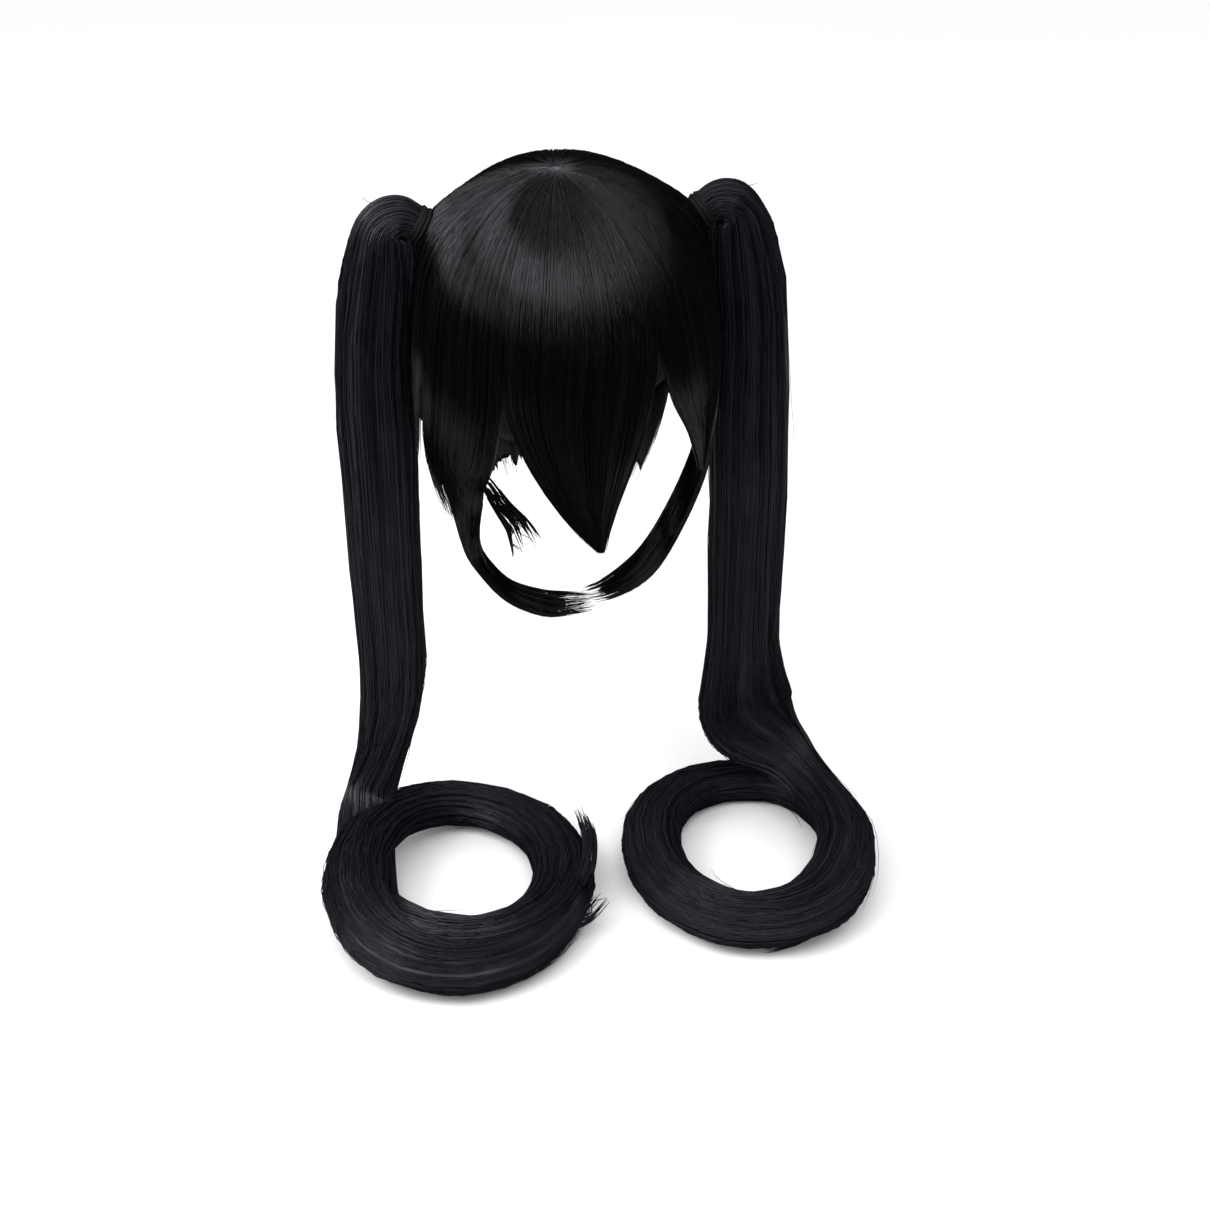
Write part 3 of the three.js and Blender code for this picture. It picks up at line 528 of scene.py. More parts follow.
def strand_tree():
    """Tree that combs tapered strands along v over a face with a UV map, each at its own u."""
    tree = bpy.data.node_groups.new("combed_strands", "GeometryNodeTree")
    tree.interface.new_socket("Face", in_out="INPUT", socket_type="NodeSocketGeometry")
    for name, value in STRAND_INPUTS.items():
        socket = tree.interface.new_socket(name, in_out="INPUT", socket_type=SOCKETS[type(value)])
        socket.default_value = value
    tree.interface.new_socket("Material", in_out="INPUT", socket_type="NodeSocketMaterial")
    tree.interface.new_socket("Strands", in_out="OUTPUT", socket_type="NodeSocketGeometry")
    given = tree.nodes.new("NodeGroupInput").outputs
    line = place(tree, "GeometryNodeCurvePrimitiveLine", {"End": (0, 0, 1)})
    fine = place(tree, "GeometryNodeResampleCurve", {"Curve": line.outputs[0], "Count": given["Points"]})
    many = place(tree, "GeometryNodeDuplicateElements", {
        "Geometry": fine.outputs[0],
        "Amount": given["Count"],
    }, domain="SPLINE")
    number = many.outputs["Duplicate Index"]
    draws = itertools.count()

    def times(first, second):
        """The product of two values."""
        return sums(tree, "MULTIPLY", first, second)

    def scaled(value, scale, start):
        """A value times a scale, from a start."""
        return sums(tree, "MULTIPLY_ADD", value, scale, start)

    def chance(low, high):
        """A random value of each strand's own."""
        seed = sums(tree, "ADD", given["Seed"], SEED_STEP * next(draws))
        inputs = {2: low, 3: high, 7: number, 8: seed}
        return place(tree, "FunctionNodeRandomValue", inputs, data_type="FLOAT").outputs[1]

    def noise(x, y, z):
        """Smooth noise from -1 to 1."""
        spot = place(tree, "ShaderNodeCombineXYZ", {0: x, 1: y, 2: z})
        made = place(tree, "ShaderNodeTexNoise", {"Vector": spot.outputs[0], "Scale": 1.0, "Detail": 1.0})
        return scaled(made.outputs[0], 4.0, -2.0)

    # What each strand has of its own
    along = place(tree, "GeometryNodeSplineParameter").outputs["Factor"]
    first = chance(given["Start From"], given["Start To"])
    last = chance(given["End From"], given["End To"])
    own = chance(0.0, 1.0)
    own_flare = chance(0.0, 1.0)
    own_lift = chance(given["Lift Low"], given["Lift High"])
    own_shade = chance(*STRAND_SHADE)
    own_width = chance(*STRAND_RADIUS)
    paced = sums(tree, "POWER", along, chance(*STRAND_PACE))

    # Where it lies on the face: it sways with its lock and alone, and is gathered to the lock's middle
    v = scaled(sums(tree, "SUBTRACT", last, first), paced, first)
    lock_spot = times(own, given["Locks"])
    own_spot = times(number, OWN_STEP)
    together = noise(lock_spot, times(v, LOCK_BENDS), given["Seed"])
    alone = noise(own_spot, times(v, OWN_BENDS), given["Seed"])
    swayed = scaled(together, given["Sway"], own)
    swayed = scaled(alone, given["Own Sway"], swayed)
    spread_out = times(swayed, given["Locks"])
    middle = sums(tree, "DIVIDE", sums(tree, "ADD", sums(tree, "FLOOR", spread_out), 0.5), given["Locks"])
    pull = times(given["Gather"], sums(tree, "POWER", v, GATHER_POWER))
    u = scaled(sums(tree, "SUBTRACT", middle, swayed), pull, swayed)
    open_u = sums(tree, "MINIMUM", sums(tree, "MAXIMUM", u, UV_EDGE), 1 - UV_EDGE)
    round_u = sums(tree, "FRACT", u)
    pick = place(tree, "GeometryNodeSwitch", {
        "Switch": given["Closed Round"],
        "False": open_u,
        "True": round_u,
    }, input_type="FLOAT")
    spot = place(tree, "ShaderNodeCombineXYZ", {0: pick.outputs[0], 1: sums(tree, "MINIMUM", v, UV_END)})

    # Its place in space, lifted off the face and flared at its end
    map_uv = place(tree, "GeometryNodeInputNamedAttribute", {"Name": "UVMap"}, data_type="FLOAT_VECTOR")
    sampled = []
    for field in ("GeometryNodeInputPosition", "GeometryNodeInputNormal"):
        found = place(tree, "GeometryNodeSampleUVSurface", {
            "Mesh": given["Face"],
            "Value": place(tree, field).outputs[0],
            "UV Map": map_uv.outputs[0],
            "Sample UV": spot.outputs[0],
        }, data_type="FLOAT_VECTOR")
        sampled.append(found.outputs[0])
    flare = times(own_flare, given["Flare"])
    lift = scaled(sums(tree, "POWER", along, FLARE_POWER), flare, own_lift)
    raised = place(tree, "ShaderNodeVectorMath", {0: sampled[1], "Scale": lift}, operation="SCALE")
    free = place(tree, "ShaderNodeVectorMath", {0: sampled[0], 1: raised.outputs[0]}, operation="ADD")
    apart = place(tree, "ShaderNodeSeparateXYZ", {0: free.outputs[0]})
    at = place(tree, "ShaderNodeCombineXYZ", {
        0: apart.outputs[0], 1: apart.outputs[1],
        2: sums(tree, "MAXIMUM", apart.outputs[2], given["Lowest"]),
    })

    # Its shade, which its half of a lock shares, and how near it is to the root, which the materials use
    # for a painted highlight
    half_lock = times(lock_spot, 2.0)
    lock_shade = noise(half_lock, times(v, given["Shade Waves"]), given["Seed"])
    shaded = place(tree, "GeometryNodeStoreNamedAttribute", {
        "Geometry": many.outputs[0],
        "Name": "shade",
        "Value": scaled(lock_shade, given["Lock Shade"], own_shade),
    }, data_type="FLOAT", domain="POINT")
    root = place(tree, "ShaderNodeMapRange", {
        "Value": v, "From Min": given["Root Highlight Share"], "From Max": 0.0,
    })
    rooted = place(tree, "GeometryNodeStoreNamedAttribute", {
        "Geometry": shaded.outputs[0],
        "Name": "root",
        "Value": root.outputs[0],
    }, data_type="FLOAT", domain="POINT")

    # Thin tubes along the strands
    combed = place(tree, "GeometryNodeSetPosition", {
        "Geometry": rooted.outputs[0],
        "Position": at.outputs[0],
    })
    thin = place(tree, "ShaderNodeMapRange", {
        "Value": along, "From Min": 0.8, "From Max": 1.0, "To Min": 1.0, "To Max": 0.3,
    })
    radius = times(times(given["Width"], own_width), thin.outputs[0])
    section = place(tree, "GeometryNodeCurvePrimitiveCircle", {"Resolution": 3, "Radius": 1.0})
    tubes = place(tree, "GeometryNodeCurveToMesh", {
        "Curve": combed.outputs[0],
        "Profile Curve": section.outputs[0],
        "Scale": radius,
        "Fill Caps": True,
    })
    smooth = place(tree, "GeometryNodeSetShadeSmooth", {"Geometry": tubes.outputs[0]})
    whole = place(tree, "GeometryNodeRealizeInstances", {"Geometry": smooth.outputs[0]})
    coloured = place(tree, "GeometryNodeSetMaterial", {
        "Geometry": whole.outputs[0],
        "Material": given["Material"],
    })
    ends = tree.nodes.new("NodeGroupOutput")
    tree.links.new(coloured.outputs[0], ends.inputs[0])
    return tree


STRANDS = strand_tree()


def comb_strands(name, sheet, v, sizes):
    """A piece of strands combed over a sheet, a grid of points in millimetres with u across and v along."""
    _, faces, grid_uv = grid_faces(sheet, v)
    mesh = bpy.data.meshes.new(name + "_sheet")
    mesh.from_pydata((sheet.reshape(-1, 3) * MM).tolist(), [], faces.tolist())
    layer = mesh.uv_layers.new(name="UVMap")
    layer.data.foreach_set("uv", grid_uv[faces.ravel()].astype(np.float32).ravel())
    mesh.polygons.foreach_set("use_smooth", np.ones(len(faces), bool))
    made = bpy.data.objects.new(name, mesh)
    bpy.context.scene.collection.objects.link(made)
    comb = made.modifiers.new("comb", "NODES")
    comb.node_group = STRANDS
    for item in STRANDS.interface.items_tree:
        if item.in_out == "INPUT" and item.name in sizes:
            comb[item.identifier] = sizes[item.name]
    grown = bpy.data.meshes.new_from_object(made.evaluated_get(bpy.context.evaluated_depsgraph_get()))
    made.modifiers.remove(comb)
    made.data = grown
    grown.name = name
    bpy.data.meshes.remove(mesh)
    return made


BED_DEPTH = 0.5  # how far the bed lies below the strands' face
STRAND_SEED = 100
for number, (node, panel) in enumerate(PANELS.items()):
    u, v, sheet = combed_sheet(panel, PARTING_SEED + number)
    inside = panel_grid(panel, u, HAIR_INSIDE)
    bed = wall_mesh(node + "_bed", sheet - BED_DEPTH * outward(sheet), inside, v, crown_bed)
    longer = dict(panel, rows=panel["rows"] + panel.get("loose", []))
    u, v, sheet = combed_sheet(longer, PARTING_SEED + number)
    loose = "loose" in panel
    # The strands' roots at the whorl are painted paler, a painted highlight
    strands = comb_strands(node + "_strands", sheet, v, {
        "Count": panel["strands"], "Points": 16, "Width": 0.0005, "Locks": float(panel["locks"]),
        "Start To": 0.25, "End From": 0.8 if loose else 0.92, "Gather": 0.15,
        "Flare": 0.0015 if loose else 0.0006, "Root Highlight Share": ROOT_HIGHLIGHT_SHARE, "Seed": STRAND_SEED + number,
        "Material": crown_strand,
    })
    for part in (bed, strands):
        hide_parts(node)
        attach(part, "root")

# Locks under the chin
# Two long locks that leave the temples, hang past the jaw and curl in under the chin, where their
# thinned ends nearly meet. They are part of the same sewn hair, combed into a flat ribbon.
# Rows: place of the middle, half width, half thickness, plan angle that the width points along
JAW_CURLS = {
    "jaw_curl_right": [
        (-66.5, -53.5, -116, 26, 1.4, 26), (-67.5, -55.5, -142.6, 27, 3.4, 22),
        (-64.3, -53, -165, 19, 4.2, 12), (-60.8, -52.5, -186, 14, 4.2, 5),
        (-52.6, -55, -200.5, 14, 3.8, 4), (-40.5, -58.5, -212, 12.5, 3.9, 4),
        (-22, -62.5, -218.5, 12.5, 4.2, 3), (-6, -65, -218.5, 9.5, 2.8, 0), (5.5, -66.5, -217.5, 8, 1, 0),
    ],
    "jaw_curl_left": [
        (77, -25, -104, 25, 2.4, -9), (76, -25, -126.8, 25, 3.2, -9), (74, -25, -147, 23, 3.9, -9),
        (66, -26, -171, 20, 4.5, -8), (54, -31, -192, 17, 4.4, -6), (41, -40, -206, 14.5, 4.2, -4),
        (27, -49, -213.5, 12, 3.8, -2), (13, -56.5, -216.5, 9, 2.4, 0), (1.5, -61, -216.5, 8, 1, 0),
    ],
}
CURL_SIDES = 40
CURL_LEVELS = 50
CURL_RAGGED = 3  # levels at the end that only strands reach
CURL_NARROW = 0.7  # share of its width that the bed loses towards the end
CURL_NARROW_FROM = 7 / 9  # share of the length at which it starts to
CURL_PARTINGS = 7
CURL_PARTING = 0.5
CURL_TWIST = 0.05
CURL_RELIEF_SEED = 60
CURL_STRAND_SEED = 120
ROW_STEPS = 24  # steps of a lock's curve for each row of its table
FINE_STEPS = 4  # steps of the smoothed curve for each station
LOCK_SMOOTHING = 40
BEND_RADIUS = 60.0  # bends tighter than this get more stations
ROUND_BENDS = 2  # how often a parting bends along a lock, and how far
ROUND_BEND = 0.8
ROUND_POWER = 0.7  # makes a parting narrower than the lock beside it


def spread(curve, count, bend_radius):
    """Stations spread along a curve, closer together where it bends more tightly than a radius."""
    steps = np.diff(curve[:, :3], axis=0)
    length = np.linalg.norm(steps, axis=1)
    bend = np.linalg.norm(np.diff(unit(steps), axis=0, prepend=unit(steps[:1])), axis=1)
    along = np.concatenate([[0], np.cumsum(length + (bend_radius * bend) ** 2 / length)])
    even = np.linspace(0, along[-1], count)
    return np.stack([np.interp(even, along, column) for column in curve.T], -1)


def lock_stations(rows, levels):
    """Stations along a smoothed curve through a lock's rows: their places, then the rows' other values."""
    curve = smooth_rows(rows, np.linspace(0, len(rows) - 1, ROW_STEPS * len(rows)))
    curve = spread(curve, FINE_STEPS * levels, 0)
    for _ in range(LOCK_SMOOTHING):
        curve[1:-1] = (curve[:-2] + 2 * curve[1:-1] + curve[2:]) / 4
    curve = spread(curve, levels, BEND_RADIUS)
    return curve[:, :3], *curve[:, 3:].T


def lock_tube(middle, facing, wide, thick, sides, relief):
    """Grid of points round a lock, with a repeated seam: its facing direction takes the thickness."""
    along = unit(np.gradient(middle, axis=0))
    side = unit(np.cross(along, facing))
    face = np.cross(side, along)
    turn = np.linspace(0, 2 * math.pi, sides + 1)
    across = (wide[:, None] - relief) * np.cos(turn)
    through = (thick[:, None] - relief) * np.sin(turn)
    return middle[:, None] + side[:, None] * across[..., None] + face[:, None] * through[..., None]


def round_relief(sides, levels, locks, depth, twist, seed):
    """Partings between the locks round a tube, which wind slowly about it: coarse, finer and finest."""
    chance = np.random.default_rng(seed)
    v = np.linspace(0, 1, levels)
    u = (np.linspace(0, 1, sides + 1)[None, :] + twist * v[:, None]) % 1
    relief = np.zeros((levels, sides + 1))
    for waves, share in ((locks, 0.5), (2 * locks + 1, 0.3), (5 * locks + 2, 0.2)):
        phase = chance.uniform(0, 2 * math.pi, 2)
        bend = phase[0] + ROUND_BEND * np.sin(2 * math.pi * ROUND_BENDS * v + phase[1])[:, None]
        relief += share * depth * np.abs(np.sin(math.pi * waves * u + bend / 2)) ** ROUND_POWER
    return depth - relief


for number, (node, rows) in enumerate(JAW_CURLS.items()):
    middle, wide, thick, facing = lock_stations(rows, CURL_LEVELS)
    turn = np.radians(facing)
    toward_face = np.stack([np.sin(turn), -np.cos(turn), np.zeros_like(turn)], -1)
    relief = round_relief(
        CURL_SIDES, CURL_LEVELS, CURL_PARTINGS, CURL_PARTING, CURL_TWIST, CURL_RELIEF_SEED + number)
    sheet = lock_tube(middle, toward_face, thick, wide, CURL_SIDES, relief)
    share = np.linspace(0, 1, CURL_LEVELS)
    narrow = 1 - CURL_NARROW * np.clip((share - CURL_NARROW_FROM) / (1 - CURL_NARROW_FROM), 0, 1)
    bed_thick = thick * narrow - BED_DEPTH
    bed_wide = wide * narrow - BED_DEPTH
    core = lock_tube(middle, toward_face, bed_thick, bed_wide, CURL_SIDES, relief)
    bed = loft_mesh(node + "_bed", core[:-CURL_RAGGED, :-1], crown_bed)
    strands = comb_strands(node + "_strands", sheet, share, {
        "Count": 420, "Points": 18, "Width": 0.0005, "Locks": 11.0, "Closed Round": True, "Gather": 0.45,
        "Start To": 0.2, "End From": 0.86, "Seed": CURL_STRAND_SEED + number, "Material": crown_strand,
    })
    for part in (bed, strands):
        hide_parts(node)
        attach(part, "root")

# Ties
# A thin black elastic cord, covered in thread, wound several times round the root of each tail to
# gather it and hold it to the cap.
TAIL_ROOT_RADIUS = 8.5
TIE_WIDTH = 5.4
TIE_GAP = 0.4
TIE_SINK = 2.0  # how far the cord beds into the combed hair round the root
ELASTIC_RADIUS = 0.85
ELASTIC_TURNS = 5
ELASTIC_STATIONS = 200
ELASTIC_SIDES = 10
ELASTIC_THREADS = 160  # turns of the covering thread along the cord
ELASTIC_DARK = (0.0012, 0.0012, 0.0015)
ELASTIC_LIGHT = (0.005, 0.005, 0.0056)
WOUND_WAVES = 3  # how often the cord runs a little wider over all its turns, and how far
WOUND_SLACK = 0.5


def tie_material():
    """Elastic cord: a spiral of covering thread round a dark core."""
    material, tree, shader = finish_material("tie_elastic")
    spot = place(tree, "ShaderNodeMapping", {
        "Vector": place(tree, "ShaderNodeTexCoord").outputs["UV"],
        "Scale": (1, ELASTIC_THREADS, 1),
    })
    wave = place(tree, "ShaderNodeTexWave", {
        "Vector": spot.outputs[0],
        "Scale": 1.0,
        "Distortion": 0.4,
    }, bands_direction="DIAGONAL")
    thread = wave.outputs["Fac"]
    colour = between(tree, thread, ELASTIC_DARK, ELASTIC_LIGHT)
    dress(tree, shader, colour, thread, rough=(0.55, 0.75), specular=0.3, relief=(0.6, 0.0003))
    return material


def tail_root(side):
    """Where a tail leaves the combed hair, and the direction that it leaves in."""
    foot = root_foot(side)
    out = outward(foot)
    return foot + ROOT_LIFT * out, out


elastic = tie_material()
for name, side in (("right", -1), ("left", 1)):
    foot, out = tail_root(side)
    first = unit(np.cross(out, (0, 1, 0)))
    second = np.cross(out, first)
    share = np.linspace(0, 1, ELASTIC_STATIONS)
    turn = 2 * math.pi * ELASTIC_TURNS * share
    climb = TIE_GAP + ELASTIC_RADIUS - TIE_SINK + (TIE_WIDTH + TIE_SINK - 2 * ELASTIC_RADIUS) * share
    slack = WOUND_SLACK * np.sin(2 * math.pi * WOUND_WAVES * share)
    wound = TAIL_ROOT_RADIUS + TIE_GAP + ELASTIC_RADIUS + slack
    away = first * np.cos(turn)[:, None] + second * np.sin(turn)[:, None]
    middle = foot + out * climb[:, None] + away * wound[:, None]
    thick = np.full(ELASTIC_STATIONS, ELASTIC_RADIUS)
    rings = lock_tube(middle, out, thick, thick, ELASTIC_SIDES, 0)
    tie = loft_mesh("tie_" + name + "_elastic", rings[:, :-1], elastic)
    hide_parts("tie_" + name)
    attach(tie, "root")

# Tails
# Two long tails of straight hair, each gathered in its tie, arched over it and hanging down. Their
# lower lengths lie on the table in a loose coil and end in a few thinned tips.
TABLE_Z = -400.0
BED_CLEAR = 0.4  # lowest levels above the table, of the bed, a strand's middle and the combed face
STRAND_CLEAR = 0.6
FACE_CLEAR = 0.8
LOWEST = (TABLE_Z + STRAND_CLEAR) * MM
COIL = (59.0, 76.0)  # half sizes of a coil's centre line
COIL_FROM = 0.03  # turn at which the coil takes over from the landing
COIL_STEP = 0.05
TURN_BLEND = 0.08  # how far to each side the values of a coil's table run into each other
BLEND_PLACES = 15
LYING_FROM = 90.0  # heights above the table between which a tail turns to lie flat
LYING_TO = 15.0
TAIL_SIDES = 48
TAIL_LEVELS = 300
TAIL_BED_DEPTH = 0.7
TAIL_TWIST = 0.5
TAIL_PARTINGS = 9
TAIL_PARTING = 0.6
TAIL_RELIEF_FROM = 0.01  # shares of the length between which partings and waves grow
TAIL_RELIEF_TO = 0.06
TAIL_RELIEF_SEED = 80
TAIL_STRAND_SEED = 140
WAVE_DEPTH = 1.3
WAVES = [(95.0, 2), (61.0, -1), (43.0, 3), (31.0, -4)]  # length along a tail, and lean round it
WAVE_SEED = 90
UPWARD = (0.0, 0.0, 1.0)
TIP_LEVELS = 24
TIP_SIDES = 16
TIP_RAGGED = 3  # levels at the end that only strands reach
TIP_BED_DEPTH = 0.4
TIP_SEED = 160
TAIL_SEEDS = 10  # seeds kept for the tips of one tail, and for its loose hairs
TIP_THICK = 0.62  # shares of the coil's thickness that a tip starts and ends with
TIP_THIN = 0.07
STRAY_PLACES = np.linspace(0.15, 0.85, 7)  # shares of the length at which loose hairs leave a tail
STRAY_SEED = 180
# Root: distance out of the combed hair, share of the root's radius
TAIL_ROOT = [(0.6, 1.0), (TIE_WIDTH + 1.4, 1.0), (TIE_WIDTH + 6, 1.25)]
# Hanging part: distance out from the middle plane, depth, height, half width, half thickness
TAIL_HANG = [
    (97.2, 10.5, -21, 13.2, 15.5), (103, 12.5, -44, 19.3, 18.5), (108.5, 14, -88, 20, 20),
    (108.5, 14, -135, 21.5, 20), (108, 13, -190, 20.5, 19), (107.5, 11, -245, 19.5, 17.5),
    (107, 6, -298, 18.5, 16),
]
# Aside moves each row of the hanging part further out, and fuller widens the part towards its end.
# Landing rows are as the hanging part's. Turns: turn, scale, lift, half width, half thickness.
# Tips: the turn that each leaves at, and the turn, scale and lift that it ends at.
TAILS = {
    "right": {
        "side": -1, "aside": (0, -3, -3, -3, -3, -3, -3), "fuller": 0, "coil": (73, -69),
        "landing": [(112.5, 0, -338, 14, 14), (125, -15, -373, 15.5, 12)],
        "turns": [
            (0, 1.06, 0, 18, 11.5), (0.12, 0.93, 0, 18, 11.5), (0.25, 0.9, 2, 18, 11.5),
            (0.5, 1, 0, 17, 11.5), (0.75, 0.96, 2, 14.5, 11.5), (0.9, 0.905, 15, 16.5, 11),
            (1, 1.04, 18, 16, 11), (1.13, 1.34, 5, 19, 11), (1.27, 1.14, 0, 18, 11), (1.42, 1.07, 5, 12, 8),
        ],
        "tips": [(1.36, 1.53, 1.02, 12), (1.35, 1.5, 1.16, 7), (1.34, 1.47, 0.92, 10)],
    },
    "left": {
        "side": 1, "aside": (0, 0, 0, 0.5, 2.5, 2.5, 2), "fuller": 3, "coil": (98, -68),
        "landing": [
            (112.5, 2, -338, 30, 14.5), (135.5, -14, -365, 18.5, 12.5), (149.5, -48, -374, 13.5, 12),
        ],
        "turns": [
            (0, 0.92, 16, 15.2, 11.5), (0.12, 0.97, 8, 18, 12), (0.25, 1.065, 3, 22, 12),
            (0.38, 1.09, 1, 18, 11.5), (0.5, 0.98, 1, 17.5, 11.5), (0.62, 0.98, 0, 16, 11),
            (0.77, 0.96, 0, 14.5, 10.5), (0.89, 1.12, 0, 12.5, 10), (1.02, 0.94, 0, 13, 10),
            (1.2, 1.0, 0, 12, 8),
        ],
        "tips": [(1.12, 1.28, 1.2, 0), (1.13, 1.31, 1.1, 0)],
    },
}
TAIL_DARK = (0.0016, 0.0020, 0.0032)
TAIL_LIGHT = (0.0115, 0.0136, 0.0202)
tail_bed = bed_material("tail_hair_bed", across=150.0, dark=TAIL_DARK, light=TAIL_LIGHT, smooth=0.34)
tail_strand = strand_material("tail_hair_strands", dark=TAIL_DARK, light=TAIL_LIGHT, smooth=0.31)


def ease(value, low, high):
    """A smooth share from 0 at the low value to 1 at the high one."""
    t = np.clip((value - low) / (high - low), 0, 1)
    return t * t * (3 - 2 * t)


def turn_values(tail, turns):
    """Scale, lift, half width and half thickness of a tail's coil at some turns."""
    table = np.asarray(tail["turns"], float)
    near = turns + TURN_BLEND * np.linspace(-1, 1, BLEND_PLACES)[:, None]
    return np.stack([np.interp(near, table[:, 0], column).mean(0) for column in table[:, 1:].T])


def coil_place(tail, turns, scale, height):
    """Places on a tail's coil: a turn starts on the outer side and runs by the front."""
    angle = -2 * math.pi * turns
    x = tail["side"] * (tail["coil"][0] + COIL[0] * scale * np.cos(angle))
    y = tail["coil"][1] + COIL[1] * scale * np.sin(angle)
    return np.stack(np.broadcast_arrays(x, y, height), -1)


def tail_rows(tail):
    """Rows of a whole tail, from its root to the end of its coil."""
    foot, out = tail_root(tail["side"])
    rows = []
    for step, share in TAIL_ROOT:
        radius = TAIL_ROOT_RADIUS * share
        rows.append([*(foot + out * step), radius, radius])
    for i, (far, y, z, wide, thick) in enumerate(TAIL_HANG):
        share = i / (len(TAIL_HANG) - 1)
        x = tail["side"] * (far + tail["aside"][i])
        rows.append([x, y, z, wide + tail["fuller"] * share, thick])
    for far, y, z, wide, thick in tail["landing"]:
        rows.append([tail["side"] * far, y, z, wide, thick])
    last = tail["turns"][-1][0]
    turns = np.linspace(COIL_FROM, last, round(last / COIL_STEP))
    scale, lift, wide, thick = turn_values(tail, turns)
    at = coil_place(tail, turns, scale, TABLE_Z + thick + lift)
    rows.extend(np.concatenate([at, wide[:, None], thick[:, None]], -1).tolist())
    return rows


def slow_waves(middle, sides, seed):
    """Gentle waves along a tail, which lean as they go round it."""
    chance = np.random.default_rng(seed)
    along = np.concatenate([[0], np.cumsum(np.linalg.norm(np.diff(middle, axis=0), axis=1))])[:, None]
    turn = np.linspace(0, 2 * math.pi, sides + 1)
    waves = 0
    for length, lean in WAVES:
        waves = waves + np.sin(2 * math.pi * along / length + lean * turn + chance.uniform(0, 2 * math.pi))
    return WAVE_DEPTH * waves / len(WAVES)


def tip_tube(tail, tip, relief):
    """Grid of points round one tip of a tail."""
    share = np.linspace(0, 1, TIP_LEVELS)
    turns = tip[0] + (tip[1] - tip[0]) * share
    scale, lift, wide, thick = turn_values(tail, np.minimum(turns, tail["turns"][-1][0]))
    thin = TIP_THICK + (TIP_THIN - TIP_THICK) * share
    height = TABLE_Z + (thick + lift) * (1 - share) + (thick * thin + tip[3]) * share
    middle = coil_place(tail, turns, scale + (tip[2] - scale) * share, height)
    return lock_tube(middle, UPWARD, wide * thin, thick * thin, TIP_SIDES, relief)


def joined(name, parts):
    """One object from several."""
    for part in bpy.context.view_layer.objects:
        part.select_set(part in parts)
    bpy.context.view_layer.objects.active = parts[0]
    bpy.ops.object.join()
    parts[0].name = name
    return parts[0]


for number, (name, tail) in enumerate(TAILS.items()):
    node = "tail_" + name
    middle, wide, thick = lock_stations(tail_rows(tail), TAIL_LEVELS)
    lying = np.maximum.accumulate(ease(TABLE_Z - middle[:, 2], -LYING_FROM, -LYING_TO))
    facing = np.stack([0 * lying, lying - 1, lying], -1)
    share = np.linspace(0, 1, TAIL_LEVELS)
    relief = round_relief(
        TAIL_SIDES, TAIL_LEVELS, TAIL_PARTINGS, TAIL_PARTING, TAIL_TWIST, TAIL_RELIEF_SEED + number)
    relief += slow_waves(middle, TAIL_SIDES, WAVE_SEED + number)
    relief *= ease(share, TAIL_RELIEF_FROM, TAIL_RELIEF_TO)[:, None]
    sheet = lock_tube(middle, facing, wide, thick, TAIL_SIDES, relief)
    core = lock_tube(middle, facing, wide - TAIL_BED_DEPTH, thick - TAIL_BED_DEPTH, TAIL_SIDES, relief)
    sheet[..., 2] = np.maximum(sheet[..., 2], TABLE_Z + FACE_CLEAR)
    core[..., 2] = np.maximum(core[..., 2], TABLE_Z + BED_CLEAR)
    bed = loft_mesh(node + "_bed", core[:, :-1], tail_bed)
    strands = comb_strands(node + "_strands", sheet, share, {
        "Count": 380, "Points": 60, "Width": 0.0007, "Locks": 12.0, "Closed Round": True, "Gather": 0.3,
        "Sway": 0.02, "Own Sway": 0.01, "Start To": 0.004, "End From": 0.94, "Flare": 0.002,
        "Lowest": LOWEST, "Lock Shade": 0.55, "Shade Waves": 9.0, "Seed": TAIL_STRAND_SEED + number,
        "Material": tail_strand,
    })
    tip_parts = []
    for k, tip in enumerate(tail["tips"]):
        tube = tip_tube(tail, tip, 0)
        tube[..., 2] = np.maximum(tube[..., 2], TABLE_Z + STRAND_CLEAR)
        core = tip_tube(tail, tip, TIP_BED_DEPTH)
        tip_parts.append(loft_mesh(node + "_tip", core[:-TIP_RAGGED, :-1], tail_bed))
        tip_parts.append(comb_strands(node + "_tip_strands", tube, np.linspace(0, 1, TIP_LEVELS), {
            "Count": 80, "Points": 18, "Width": 0.0006, "Locks": 5.0, "Closed Round": True, "Gather": 0.4,
            "Start To": 0.3, "End From": 0.7, "Flare": 0.002, "Lowest": LOWEST,
            "Seed": TIP_SEED + TAIL_SEEDS * number + k, "Material": tail_strand,
        }))
    for k, start in enumerate(STRAY_PLACES):
        tip_parts.append(comb_strands(node + "_stray", sheet, share, {
            "Count": 7, "Points": 14, "Width": 0.0004, "Locks": 12.0, "Closed Round": True, "Gather": 0.0,
            "Start From": start - 0.05, "Start To": start, "End From": start + 0.03, "End To": start + 0.1,
            "Flare": 0.007, "Lowest": LOWEST, "Seed": STRAY_SEED + TAIL_SEEDS * number + k,
            "Material": tail_strand,
        }))
    tips = joined(node + "_tips", tip_parts)
    for part in (bed, strands, tips):
        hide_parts(node)
        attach(part, "root")

# Wisps
# Fine hairs that have slipped out of the rest: forward from the right temple, between the tails' roots
# and the combed hair, and at the end of the right tail's coil.
WISP_LEVELS = 24
WISP_SIDES = 12
WISP_SEED = 200
TOWARD_FACE = (0.0, -1.0, 0.0)
TOWARD_SIDE = (1.0, 0.0, 0.0)
